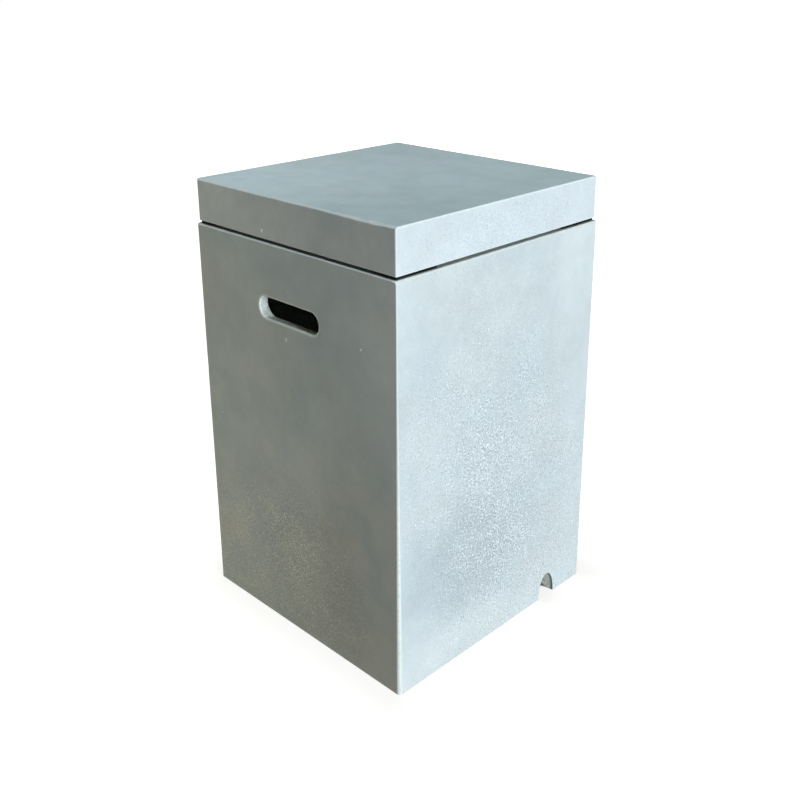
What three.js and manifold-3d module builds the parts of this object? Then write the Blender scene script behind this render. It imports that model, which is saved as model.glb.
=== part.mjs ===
// A square cast-concrete cover for an upright gas cylinder, which also serves as a side table.
// The shell is one casting with four walls, open at the foot and at the rim. The lid is a second
// casting, hollow underneath, that lies loose on four rubber pads. Two hand slots carry the shell,
// and a notch at the foot lets the hose out.
//
// Millimetres, +Z up. The origin is on the ground in the middle of the shell, the hand slots face
// -Y and +Y, and the hose notch faces +X.
import * as THREE from 'three';
import { mergeVertices } from 'three/addons/utils/BufferGeometryUtils.js';
import Module from 'manifold-3d';

// Shell: the outer size, and walls that thicken towards the foot because the core draws out upwards
const SHELL_SIDE = 400;
const SHELL_HEIGHT = 579;
const WALL_AT_RIM = 17;
const WALL_AT_FOOT = 20.5;
const SHELL_CORNER_RADIUS = 4;
const SHELL_EDGE_RADIUS = 2;
const BAY_CORNER_RADIUS = 14;

// Hand slots, one in the front wall and one in the back wall: their size at the outer face, how far
// they sit off the wall's middle, and how much wider each side is at the inner face
const SLOT_LENGTH = 121;
const SLOT_HEIGHT = 30;
const SLOT_BELOW_RIM = 90.5;
const SLOT_OFF_MIDDLE = 2.8;
const SLOT_SPLAY = 3;
const SLOT_LIP_RADIUS = 2;

// Hose notch in the right wall: its size at the outer face, how much narrower each side is at the
// inner face, and its centre line measured from the shell's back face
const NOTCH_WIDTH = 35.5;
const NOTCH_HEIGHT = 38.3;
const NOTCH_DRAFT = 3;
const NOTCH_FROM_BACK = 82.7;
const NOTCH_LIP_RADIUS = 1.2;

// Lid: a tray turned upside down, set in a little from the shell's faces
const LID_INSET = 2.2;
const LID_THICKNESS = 60;
const LID_TOP_SKIN = 20;
const LID_CORNER_RADIUS = 4;
const LID_EDGE_RADIUS = 2.5;
const HOLLOW_CORNER_RADIUS = 20;
const HOLLOW_FILLET = 10;
const HOLLOW_DRAFT = 3;

// Rubber pads glued under the lid near its corners, which hold it clear of the rim
const REVEAL = 4;
const SEAT_GAP = 0.3;
const PAD_WIDTH = 28;
const PAD_LENGTH = 69.5;
const PAD_INSET = 2.5;
const PAD_CORNER_RADIUS = 1.5;
const PAD_EDGE_RADIUS = 0.5;
const BAND_PAST_PAD = 4;

// Curbs cast under the lid, one to a side, which drop inside the rim and keep the lid in place
const CURB_WIDTH = 11;
const CURB_DROP = 10;
const CURB_EDGE_RADIUS = 2;
const CURB_TO_WALL = 3;
const CURB_TO_PAD = 20;

// Modelling: how far a cutter runs past what it cuts, and the steps of each kind of curve
const OVERRUN = 0.2;
const CORNER_STEPS = 3;
const EDGE_STEPS = 3;
const SLOT_STEPS = 4;
const ARCH_STEPS = 8;

const shellHalf = SHELL_SIDE / 2;
const lidHalf = shellHalf - LID_INSET;
const lidBand = PAD_INSET + PAD_WIDTH + BAND_PAST_PAD;

const concrete = { roughness: 0.85, metalness: 0 };
const shellMaterial = new THREE.MeshStandardMaterial({ color: 0xc3c9c8, ...concrete });
const lidMaterial = new THREE.MeshStandardMaterial({ color: 0xbfc7c8, ...concrete });
const rubberMaterial = new THREE.MeshStandardMaterial({ color: 0x17181a, roughness: 0.75, metalness: 0 });

const wasm = await Module();
wasm.setup();

// Turns a closed geometry into a solid for joining and cutting.
function toSolid(geometry) {
  const bare = geometry.clone();
  bare.deleteAttribute('normal');
  bare.deleteAttribute('uv');
  const merged = mergeVertices(bare);
  const vertProperties = new Float32Array(merged.attributes.position.array);
  const triVerts = new Uint32Array(merged.index.array);
  return new wasm.Manifold(new wasm.Mesh({ numProp: 3, vertProperties, triVerts }));
}

// Turns a solid back into a geometry with flat faces.
function toGeometry(solid) {
  const { vertProperties, triVerts, numProp } = solid.getMesh();
  const indexed = new THREE.BufferGeometry();
  indexed.setAttribute('position', new THREE.BufferAttribute(vertProperties, numProp));
  indexed.setIndex(new THREE.BufferAttribute(triVerts, 1));
  const flat = indexed.toNonIndexed();
  flat.computeVertexNormals();
  return flat;
}

// A rectangle about the origin with round corners.
function roundedRectangle(width, depth, radius) {
  const x = width / 2 - radius;
  const y = depth / 2 - radius;
  const shape = new THREE.Shape();
  shape.absarc(x, y, radius, 0, Math.PI / 2);
  shape.absarc(-x, y, radius, Math.PI / 2, Math.PI);
  shape.absarc(-x, -y, radius, Math.PI, 1.5 * Math.PI);
  shape.absarc(x, -y, radius, 1.5 * Math.PI, 2 * Math.PI);
  return shape;
}

// The upper half of an ellipse, on straight legs that run on below the ground.
function archOutline(width, height) {
  const half = width / 2;
  const shape = new THREE.Shape();
  shape.moveTo(-half, -half);
  shape.lineTo(half, -half);
  shape.absellipse(0, 0, half, height, 0, Math.PI);
  shape.closePath();
  return shape;
}

// A slab of an outline that stands on z = 0, with its top and bottom edges rounded over.
function slab(shape, height, edgeRadius, curveSegments = CORNER_STEPS) {
  const geometry = new THREE.ExtrudeGeometry(shape, {
    depth: height - 2 * edgeRadius,
    bevelThickness: edgeRadius,
    bevelSize: edgeRadius,
    bevelOffset: -edgeRadius,
    bevelSegments: EDGE_STEPS,
    curveSegments,
  });
  return geometry.translate(0, 0, edgeRadius);
}

// A cutter of an outline through a wall between z = 0 and its thickness. Both of its ends widen
// along a quarter circle, so the hole that it cuts has a rounded lip on each face.
function lippedCutter(shape, thickness, lipRadius, curveSegments = CORNER_STEPS) {
  const geometry = new THREE.ExtrudeGeometry(shape, {
    depth: thickness + 2 * OVERRUN - 2 * lipRadius,
    bevelThickness: lipRadius,
    bevelSize: -lipRadius,
    bevelOffset: lipRadius,
    bevelSegments: EDGE_STEPS,
    curveSegments,
  });
  return geometry.translate(0, 0, lipRadius - OVERRUN);
}

// Draws a geometry's sides out or in evenly with height, as a mould's draft does: a side that is
// `half` from the axis at z = 0 moves by `change` on its way to the height. For a bar the axis is
// spread along X, up to `straight` from the middle.
function draft(geometry, half, change, height, straight = 0) {
  const position = geometry.attributes.position;
  for (let i = 0; i < position.count; i += 1) {
    const scale = 1 + (change / half) * (position.getZ(i) / height);
    const axis = THREE.MathUtils.clamp(position.getX(i), -straight, straight);
    position.setX(i, axis + (position.getX(i) - axis) * scale);
    position.setY(i, position.getY(i) * scale);
  }
  return geometry;
}

// The greatest thickness of the shell's wall between two heights.
function wallBetween(low, high) {
  const at = (z) => THREE.MathUtils.lerp(WALL_AT_FOOT, WALL_AT_RIM, z / SHELL_HEIGHT);
  return Math.max(at(low), at(high));
}

// The bay for the cylinder, straight through the shell and a little wider at the rim.
function bayCutter() {
  const footHalf = shellHalf - WALL_AT_FOOT;
  const outline = roundedRectangle(2 * footHalf, 2 * footHalf, BAY_CORNER_RADIUS);
  const cutter = lippedCutter(outline, SHELL_HEIGHT, SHELL_EDGE_RADIUS);
  return draft(cutter, footHalf, WALL_AT_FOOT - WALL_AT_RIM, SHELL_HEIGHT);
}

// A hand slot through the front wall, a level bar with half-round ends that widens inwards.
function slotCutter() {
  const middle = SHELL_HEIGHT - SLOT_BELOW_RIM;
  const radius = SLOT_HEIGHT / 2;
  const wall = wallBetween(middle - radius, middle + radius);
  const outline = roundedRectangle(SLOT_LENGTH, SLOT_HEIGHT, radius);
  const cutter = lippedCutter(outline, wall, SLOT_LIP_RADIUS, SLOT_STEPS);
  draft(cutter, radius, SLOT_SPLAY, wall, SLOT_LENGTH / 2 - radius);
  cutter.rotateX(-Math.PI / 2);
  return cutter.translate(-SLOT_OFF_MIDDLE, -shellHalf, middle);
}

// The hose notch through the right wall, open at the ground. It is drawn at the inner face and
// grows outwards to its full size.
function notchCutter() {
  const wall = wallBetween(0, NOTCH_HEIGHT);
  const innerHalf = NOTCH_WIDTH / 2 - NOTCH_DRAFT;
  const outline = archOutline(2 * innerHalf, (NOTCH_HEIGHT * 2 * innerHalf) / NOTCH_WIDTH);
  const cutter = lippedCutter(outline, wall, NOTCH_LIP_RADIUS, ARCH_STEPS);
  draft(cutter, innerHalf, NOTCH_DRAFT, wall);
  cutter.rotateX(Math.PI / 2);
  cutter.rotateZ(Math.PI / 2);
  return cutter.translate(shellHalf - wall, shellHalf - NOTCH_FROM_BACK, 0);
}

// The shell: a rounded block, cut by the bay, the two hand slots and the hose notch.
function makeShell() {
  const outline = roundedRectangle(SHELL_SIDE, SHELL_SIDE, SHELL_CORNER_RADIUS);
  const block = toSolid(slab(outline, SHELL_HEIGHT, SHELL_EDGE_RADIUS));
  const cutters = [bayCutter(), slotCutter(), slotCutter().rotateZ(Math.PI), notchCutter()];
  return cutters.reduce((solid, cutter) => solid.subtract(toSolid(cutter)), block);
}

// The hollow in the lid's underside: it narrows upwards and has a fillet round its ceiling.
function hollowCutter() {
  const mouthHalf = lidHalf - lidBand;
  const depth = LID_THICKNESS - LID_TOP_SKIN;
  const outline = roundedRectangle(2 * mouthHalf, 2 * mouthHalf, HOLLOW_CORNER_RADIUS);
  const cutter = slab(outline, depth + HOLLOW_FILLET, HOLLOW_FILLET).translate(0, 0, -HOLLOW_FILLET);
  return draft(cutter, mouthHalf, -HOLLOW_DRAFT, depth);
}

// One curb, along the right side. It is sunk into the casting as deep as it drops below it.
function curbBar() {
  const outerFace = shellHalf - WALL_AT_RIM - CURB_TO_WALL;
  const halfLength = lidHalf - PAD_INSET - Math.max(PAD_LENGTH, PAD_WIDTH) - CURB_TO_PAD;
  const outline = roundedRectangle(CURB_WIDTH, 2 * halfLength, CURB_WIDTH / 2);
  const bar = slab(outline, 2 * CURB_DROP, CURB_EDGE_RADIUS);
  return bar.translate(outerFace - CURB_WIDTH / 2, 0, -CURB_DROP);
}

// The lid, with its underside at z = 0: a rounded slab, hollowed, with a curb along each side.
function makeLid() {
  const outline = roundedRectangle(2 * lidHalf, 2 * lidHalf, LID_CORNER_RADIUS);
  let solid = toSolid(slab(outline, LID_THICKNESS, LID_EDGE_RADIUS)).subtract(toSolid(hollowCutter()));
  for (let side = 0; side < 4; side += 1) {
    solid = solid.add(toSolid(curbBar().rotateZ((side * Math.PI) / 2)));
  }
  return solid;
}

// A flat rubber pad that stands on z = 0.
function makePad() {
  const outline = roundedRectangle(PAD_WIDTH, PAD_LENGTH, PAD_CORNER_RADIUS);
  return slab(outline, REVEAL - 2 * SEAT_GAP, PAD_EDGE_RADIUS);
}

function namedMesh(name, geometry, material) {
  const mesh = new THREE.Mesh(geometry, material);
  mesh.name = name;
  return mesh;
}

// The lid and the pads that lift off with it share a group, whose origin is on the lid's underside.
function lidGroup() {
  const group = new THREE.Group();
  group.position.z = SHELL_HEIGHT + REVEAL;
  group.add(namedMesh('lid', toGeometry(makeLid()), lidMaterial));
  const x = lidHalf - PAD_INSET - PAD_WIDTH / 2;
  const y = lidHalf - PAD_INSET - PAD_LENGTH / 2;
  const corners = { front_left: [-x, -y], front_right: [x, -y], back_right: [x, y], back_left: [-x, y] };
  for (const [corner, [padX, padY]] of Object.entries(corners)) {
    const pad = namedMesh(`pad_${corner}`, makePad(), rubberMaterial);
    pad.position.set(padX, padY, SEAT_GAP - REVEAL);
    group.add(pad);
  }
  return group;
}

const cover = new THREE.Group();
cover.add(namedMesh('shell', toGeometry(makeShell()), shellMaterial));
cover.add(lidGroup());

export default cover;
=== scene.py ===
# %% [markdown]
# # A cast-concrete cover that is also a side table
# The real object is two castings and four rubber pads: a square shell without a bottom, and a
# thick loose lid. Its looks live in small things: rounded arrises, the lips of the hand slots,
# sandy grain, faint clouds and a few air holes. So each casting is rebuilt here as one fine
# surface worked out with numpy, and dressed in a concrete that is made of shader nodes only.

import collections
import itertools
import math

import bmesh
import bpy
import numpy as np
from mathutils import Matrix, Vector


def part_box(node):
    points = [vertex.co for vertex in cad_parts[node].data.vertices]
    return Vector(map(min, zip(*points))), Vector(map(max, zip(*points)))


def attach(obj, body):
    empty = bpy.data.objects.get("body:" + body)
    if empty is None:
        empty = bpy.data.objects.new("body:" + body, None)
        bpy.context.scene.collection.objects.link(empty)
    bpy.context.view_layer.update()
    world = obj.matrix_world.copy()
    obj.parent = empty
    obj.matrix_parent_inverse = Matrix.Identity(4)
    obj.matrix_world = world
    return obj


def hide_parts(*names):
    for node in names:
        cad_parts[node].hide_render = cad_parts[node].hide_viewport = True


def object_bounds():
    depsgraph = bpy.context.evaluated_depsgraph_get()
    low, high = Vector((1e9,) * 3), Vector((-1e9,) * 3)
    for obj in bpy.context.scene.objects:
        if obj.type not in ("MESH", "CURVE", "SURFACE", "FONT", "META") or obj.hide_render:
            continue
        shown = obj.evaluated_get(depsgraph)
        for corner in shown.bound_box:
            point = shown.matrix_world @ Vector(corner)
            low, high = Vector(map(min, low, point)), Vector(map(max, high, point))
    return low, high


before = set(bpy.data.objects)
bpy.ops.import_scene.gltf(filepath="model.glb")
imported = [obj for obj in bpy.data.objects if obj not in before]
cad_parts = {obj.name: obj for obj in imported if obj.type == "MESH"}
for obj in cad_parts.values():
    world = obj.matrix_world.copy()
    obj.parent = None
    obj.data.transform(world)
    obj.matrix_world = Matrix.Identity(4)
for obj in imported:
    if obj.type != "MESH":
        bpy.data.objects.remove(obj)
cad_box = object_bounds()
shell_high, lid_high = (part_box(piece)[1] for piece in ("shell", "lid"))
print("pieces in the frame:", sorted(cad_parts))

# %% [markdown]
# ## The camera
# Straight edges in the photograph gave the lens and the place of the camera: about 1.5 m from the
# cover, looking at its front right corner from a little above. The optical axis doesn't pass
# through the middle of the picture, which a small lens shift repeats. The three turns are those of
# a tripod head: round the object, down towards it, and a slight roll.

# %% Camera
FRAME_PIXELS = 800
FOCAL_PIXELS = 1017.4
AXIS_PIXEL = (407.1, 299.9)
CAMERA_PLACE = (0.9926, -0.9819, 0.9344)
CAMERA_ROUND, CAMERA_DIP, CAMERA_ROLL = (math.radians(a) for a in (44.756, 18.700, -0.284))
SENSOR_MM = 36.0


def in_scene(name, data):
    """A new object with these data, linked to the scene."""
    made = bpy.data.objects.new(name, data)
    bpy.context.scene.collection.objects.link(made)
    return made


lens = bpy.data.cameras.new("camera")
lens.sensor_width = SENSOR_MM
lens.lens = FOCAL_PIXELS / FRAME_PIXELS * SENSOR_MM
lens.shift_x = 0.5 - AXIS_PIXEL[0] / FRAME_PIXELS
lens.shift_y = AXIS_PIXEL[1] / FRAME_PIXELS - 0.5
camera = in_scene("camera", lens)
turn = Matrix.Rotation(CAMERA_ROUND, 4, "Z") @ Matrix.Rotation(math.pi / 2 - CAMERA_DIP, 4, "X")
camera.matrix_world = Matrix.Translation(CAMERA_PLACE) @ turn @ Matrix.Rotation(CAMERA_ROLL, 4, "Z")
bpy.context.scene.camera = camera
print("lens", round(lens.lens, 1), "mm, shift", round(lens.shift_x, 4), round(lens.shift_y, 4))

# %% [markdown]
# ## A skin made of patches
# A casting is one closed surface with holes through it. Blender's booleans could cut them, but they
# leave long thin faces that spoil the shading of a rounded lip. Here a casting is gathered from
# patches instead. Each patch is an array of points, and neighbours share the numbers of the points
# on their common border, so nothing has to be merged and no seam can open.

# %% Skin
class Skin:
    """The points and faces of one closed surface, with a mark on each point for its arrises."""

    def __init__(self):
        self.points, self.marks, self.faces, self.count = [], [], [], 0

    def add(self, points, arris=0.0):
        """Keeps an array of points and returns the numbers that they get, in the same layout."""
        layout = points.shape[:-1]
        numbers = self.count + np.arange(np.prod(layout, dtype=int)).reshape(layout)
        self.points.append(points.reshape(-1, 3))
        self.marks.append(np.broadcast_to(arris, layout).reshape(-1))
        self.count += numbers.size
        return numbers

    def weave(self, numbers, keep=None):
        """Quads between neighbouring rows and columns, where `keep` is true."""
        corners = (numbers[:-1, :-1], numbers[:-1, 1:], numbers[1:, 1:], numbers[1:, :-1])
        quads = np.stack(corners, -1)
        quads = quads.reshape(-1, 4) if keep is None else quads[keep]
        self.faces += quads.tolist()

    def place(self, numbers):
        """The points that have these numbers."""
        return np.concatenate(self.points)[numbers]


def wrapped(numbers, axis=1):
    """The same array with its first row or column repeated at the end, so that it closes."""
    return np.concatenate([numbers, numbers.take([0], axis)], axis)


# %% [markdown]
# ## Plans and profiles
# Both castings are squares with round corners whose size changes with height, so one plan serves
# them. A station on the plan knows the side that it belongs to, how far along that side it lies,
# and how far round the corner it has turned. Any half width and corner radius can then be filled
# in, for whole arrays of rows at a time. Edges are rounded with quarter circles.

# %% Square plan
CORNER_STEPS = 6
EDGE_STEPS = 5
LATTICE = 32
Plan = collections.namedtuple("Plan", "along turn side kept reach")
AHEAD = np.array([(1, 0), (0, 1), (-1, 0), (0, -1)])
OUTWARD = np.array([(0, -1), (1, 0), (0, 1), (-1, 0)])


def square_plan(side_marks, kept, reach):
    """Stations anticlockwise round a square, each side's marks and then the turn at its end. Up to
    `kept` from a side's middle a station stays where it is, and past it the stations are drawn in
    evenly when the flat stretch is shorter than `reach`."""
    bend = np.linspace(0, np.pi / 2, CORNER_STEPS + 1)[1:-1]
    along = [np.concatenate([marks, np.full(bend.size, reach)]) for marks in side_marks]
    turn = [np.concatenate([np.zeros(len(marks)), bend]) for marks in side_marks]
    side = [np.full(a.size, i) for i, a in enumerate(along)]
    return Plan(np.concatenate(along), np.concatenate(turn), np.concatenate(side), kept, reach)


def at_front_corner(plan):
    """Whether a station belongs to the corner between the front and the right side."""
    return ((plan.side == 0) & (plan.along > 0)) | ((plan.side == 1) & (plan.along < 0))


def ring(plan, half, radius):
    """Points of the square with that half width and corner radius, one for each row or one for each
    row and station: on a flat stretch the station's place along the side, and in a corner the centre
    plus the radius times the turned direction."""
    half, radius = (np.reshape(value, (len(value), -1)) for value in (half, radius))
    end = half - radius
    beyond = np.maximum(np.abs(plan.along) - plan.kept, 0) / (plan.reach - plan.kept)
    near = np.minimum(np.abs(plan.along), plan.kept)
    lead = np.sign(plan.along) * (near + beyond * (end - plan.kept))
    ahead = (lead + radius * np.sin(plan.turn))[..., None] * AHEAD[plan.side]
    outward = (end + radius * np.cos(plan.turn))[..., None] * OUTWARD[plan.side]
    return ahead + outward


def with_height(flat, z):
    """Flat points with a height as their third coordinate."""
    return np.concatenate([flat, np.broadcast_to(z, flat.shape[:-1])[..., None]], -1)


def spaced(*stops):
    """Marks from each stop to the next, given as stop, step, stop, step, stop, each step rounded
    to fit a whole number of times."""
    marks = [np.array(stops[:1])]
    for start, step, stop in zip(stops[0::2], stops[1::2], stops[2::2]):
        count = max(1, round(abs(stop - start) / step))
        marks.append(np.linspace(start, stop, count + 1)[1:])
    return np.concatenate(marks)


def taken_off(radius, bend):
    """What an edge's quarter circle takes off on its two faces, at the point where it has turned by
    the angle `bend`: the radius less its sine part, and the radius less its cosine part."""
    return radius * (1 - np.sin(bend)), radius * (1 - np.cos(bend))


def soft_noise(points, cell, seed):
    """Random heights from 0 to 1 on a lattice with that spacing, blended smoothly between the eight
    nearest."""
    heights = np.random.default_rng(seed).random((LATTICE,) * 3)
    scaled = points / cell
    low = np.floor(scaled).astype(int)
    share = scaled - low
    share = share * share * (3 - 2 * share)
    total = 0
    for corner in itertools.product((0, 1), repeat=3):
        weight = np.where(np.array(corner) == 1, share, 1 - share).prod(-1)
        x, y, z = np.moveaxis((low + corner) % LATTICE, -1, 0)
        total = total + weight * heights[x, y, z]
    return total


def ramp(values, start, stop):
    """Rises smoothly from 0 at `start` to 1 at `stop`."""
    share = np.clip((values - start) / (stop - start), 0, 1)
    return share * share * (3 - 2 * share)


# %% [markdown]
# ## Shell: the wall's section
# The shell comes out of its mould upside down, so its walls thicken a little towards the foot. One
# section goes up the outer face, over the rim, down the inside and back along the foot, and each of
# its rows is carried round the plan. A row knows how far across the wall it lies and how far round
# a rounded edge it has turned. The rows close together next to an edge keep the shading of the flat
# face from running into the edge.

# %% Shell sizes
HALF = shell_high.x
RIM = shell_high.z
WALL_AT_FOOT, WALL_AT_RIM = 0.0205, 0.0170
OUTER_CORNER, BAY_CORNER = 0.0040, 0.0140
FRONT_CORNER_LOW, FRONT_CORNER_HIGH, FRONT_CORNER_SHARP_FROM = 0.0060, 0.0014, 0.5
LEAST_CORNER = 0.0002
EDGE = 0.0013
WORN_RIM = 0.0045
QUARTER = np.linspace(0, np.pi / 2, EDGE_STEPS + 1)

SLOT_BELOW_RIM, SLOT_OFF_MIDDLE = 0.0905, 0.0028
SLOT_HALF_LENGTH, SLOT_HALF_HEIGHT, SLOT_SPLAY = 0.0605, 0.0150, 0.0030
SLOT_LIP, SLOT_INNER_LIP = 0.0020, 0.0007
SLOT_FIELD, SLOT_CELLS = (0.0750, 0.0265), (40, 14)
SLOT_MIDDLE = RIM - SLOT_BELOW_RIM

NOTCH_FROM_BACK = 0.0827
NOTCH_HALF_WIDTH, NOTCH_TOP, NOTCH_LIP, NOTCH_DRAFT = 0.01775, 0.0383, 0.0012, 0.0030
NOTCH_FIELD, NOTCH_FIELD_TOP, NOTCH_CELLS = 0.0400, 0.0620, 56
NOTCH_MIDDLE = HALF - NOTCH_FROM_BACK
notch_low, notch_high = NOTCH_MIDDLE - NOTCH_FIELD, NOTCH_MIDDLE + NOTCH_FIELD


def wall(z):
    """The wall's thickness at a height, a straight line from the foot to the rim."""
    return WALL_AT_FOOT + (WALL_AT_RIM - WALL_AT_FOOT) * z / RIM


def depth_in_wall(points):
    """How far each point lies behind the nearest outer face."""
    return HALF - np.abs(points[..., :2]).max(-1)


def outer_corners(plan, z):
    """The radius of the outer corner for each row and station. The front corner is crisp high up and
    rubbed rounder towards the foot, and the other three are even."""
    rubbed = np.clip(1 - z / FRONT_CORNER_SHARP_FROM, 0, 1)[:, None]
    front = FRONT_CORNER_HIGH + (FRONT_CORNER_LOW - FRONT_CORNER_HIGH) * rubbed
    return np.where(at_front_corner(plan), front, OUTER_CORNER)


print("wall at the slots:", round(wall(SLOT_MIDDLE) * 1000, 1), "mm thick")

# %% Rows up and down the wall
HOLD = 0.0006
FACE_STEP, NOTCH_STEP, WORN_STEP, BAY_STEP, LOW_BAY_STEP = 0.0062, 0.0060, 0.0008, 0.0150, 0.0230
RIM_SHARES = np.array([0.04, 0.10, 0.16, 0.22, 0.4, 0.6, 0.8, 0.96])
FOOT_SHARES = np.array([0.96, 0.72, 0.5, 0.28, 0.04])
Row = collections.namedtuple("Row", "z across bend")


def shell_rows():
    """Rows of the wall's section: the height, the share of the way from the outer to the inner face,
    and the angle turned round an edge, which is 0 on a face and a quarter turn on the rim and foot."""
    field = (SLOT_MIDDLE - SLOT_FIELD[1], SLOT_MIDDLE + SLOT_FIELD[1])
    slot_step = 2 * SLOT_FIELD[1] / SLOT_CELLS[1]
    low, high = EDGE + HOLD, RIM - EDGE - HOLD
    outer = spaced(EDGE, HOLD, low, NOTCH_STEP, NOTCH_FIELD_TOP, FACE_STEP, field[0], slot_step, field[1],
                   FACE_STEP, RIM - WORN_RIM, WORN_STEP, high, HOLD, RIM - EDGE)
    inner = spaced(RIM - EDGE, HOLD, high, BAY_STEP, field[1], slot_step, field[0], LOW_BAY_STEP,
                   NOTCH_FIELD_TOP, NOTCH_STEP, low, HOLD, EDGE)
    round_over, turn = taken_off(EDGE, QUARTER)[0], QUARTER[1:]
    z = [outer, RIM - round_over[1:], RIM + 0 * RIM_SHARES, RIM - round_over[:0:-1],
         inner, round_over[1:], 0 * FOOT_SHARES, round_over[:0:-1]]
    across = [0 * outer, 0 * turn, RIM_SHARES, 1 + 0 * turn,
              1 + 0 * inner, 1 + 0 * turn, FOOT_SHARES, 0 * turn]
    bend = [0 * outer, turn, np.pi / 2 + 0 * RIM_SHARES, turn[::-1],
            0 * inner, turn, np.pi / 2 + 0 * FOOT_SHARES, turn[::-1]]
    return Row(*(np.concatenate(part) for part in (z, across, bend)))


rows = shell_rows()
print("wall's section:", rows.z.size, "rows")

# %% Stations round the shell
SHELL_KEPT = 0.1620


def marks_along(half, step, low=0, high=0, cells=0):
    """Marks along a side: the face's step, a finer one next to its corners, and even cells from `low`
    to `high` where a field needs them."""
    field = (low, (high - low) / cells, high, step) if cells else ()
    return spaced(-half, HOLD, HOLD - half, step, *field, half - HOLD, HOLD, half)


def first_station(plan, side, along):
    """The first station of a side that lies at or past that place along it."""
    return np.flatnonzero((plan.side == side) & (plan.along > along - HOLD / 2))[0]


side_half = HALF - OUTER_CORNER
slot_field = (-SLOT_FIELD[0] - SLOT_OFF_MIDDLE, SLOT_FIELD[0] - SLOT_OFF_MIDDLE)
slot_marks = marks_along(side_half, FACE_STEP, *slot_field, SLOT_CELLS[0])
notch_marks = marks_along(side_half, FACE_STEP, notch_low, notch_high, NOTCH_CELLS)
plain_marks = marks_along(side_half, FACE_STEP)
shell_plan = square_plan([slot_marks, notch_marks, slot_marks, plain_marks], SHELL_KEPT, side_half)


def shell_points(plan, rows):
    """Each row of the section carried round the plan: the outer square drawn in, and the bay's
    square let out, by what the edge's quarter circle takes, and the two mixed across the wall."""
    taken = taken_off(EDGE, rows.bend)[1]
    corner = np.maximum(outer_corners(plan, rows.z) - taken[:, None], LEAST_CORNER)
    outer = ring(plan, HALF - taken, corner)
    inner = ring(plan, HALF - wall(rows.z) + taken, BAY_CORNER + taken)
    across = rows.across[:, None, None]
    return with_height((1 - across) * outer + across * inner, rows.z[:, None])


# %% [markdown]
# ## Shell: the worn rim
# The rim's crisp edge is rubbed off in front and on the right. What lies outside a slanted line is
# moved square on to it, and soft noise makes the line wander. The moved points are marked, because
# rubbed concrete is paler.

# %% Worn rim
WEAR_SHOWS = 0.0003
RIM_WEAR_CELL, RIM_WEAR_LEAST, RIM_WEAR_VARIES = 0.012, 0.8, 0.4
FRONT_LEG, FRONT_LEG_LOSES, FRONT_LEG_FADES = 0.0020, 0.0010, (-0.15, 0.10)
RIGHT_LEG, RIGHT_LEG_LOSES, RIGHT_LEG_FADES = 0.0030, 0.0008, (0.01, 0.09)
RIM_BORDER = (0.0044, 0.0030)


def knocked_off(points, top, half, side, leg):
    """Wears the top edge of one side: what lies outside a line across the edge, with that leg on the
    face, is moved square to that line on to it. Gives the points and a mark where they moved."""
    inward = half - points[..., :2] @ OUTWARD[side]
    pull = np.maximum(leg - (top - points[..., 2]) - inward, 0) / 2
    moved = points.copy()
    moved[..., 2] -= pull
    moved[..., :2] -= pull[..., None] * OUTWARD[side]
    return moved, ramp(pull, 0.0, WEAR_SHOWS)


def worn_rim(points):
    """The rim's outer edge is worn in front, most at the left, and on the right, most at the front,
    and a pale border runs along it on the flat, partly rubbed wear and partly a painted highlight."""
    uneven = RIM_WEAR_LEAST + RIM_WEAR_VARIES * soft_noise(points, RIM_WEAR_CELL, 51)
    front_leg = (FRONT_LEG - FRONT_LEG_LOSES * ramp(points[..., 0], *FRONT_LEG_FADES)) * uneven
    right_leg = (RIGHT_LEG - RIGHT_LEG_LOSES * ramp(points[..., 1] + HALF, *RIGHT_LEG_FADES)) * uneven
    points, front = knocked_off(points, RIM, HALF, 0, front_leg)
    points, right = knocked_off(points, RIM, HALF, 1, right_leg)
    # A pale border on the rim's flat: partly rubbed wear, partly a painted highlight.
    border = ramp(depth_in_wall(points), *RIM_BORDER) * (points[..., 2] > RIM - EDGE)
    return points, np.maximum(np.maximum(front, right), border)


grid, rim_worn_and_highlight = worn_rim(shell_points(shell_plan, rows))
print("shell grid:", grid.shape[:2], "rows and stations, worn at", int((rim_worn_and_highlight > 0).sum()), "points")

# %% [markdown]
# ## Shell: the hose notch
# The notch is a small arch that is open to the ground: half an ellipse, a little narrower inside,
# because its plug has to draw out of the casting. The foot's edge simply runs up and round the arch.
# The grid does the same: the foot's rows follow a path along the ground, over the arch and down
# again, and the rows of both faces spread out between that path and a level line above it.

# %% Notch path
GROUND_TURN = 0.0016
PATH_STEPS = (6, 3, 19)
FAN_FROM_FOOT = (-0.0085, -0.0055)
FAN_EASES_OVER = 0.1


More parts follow.
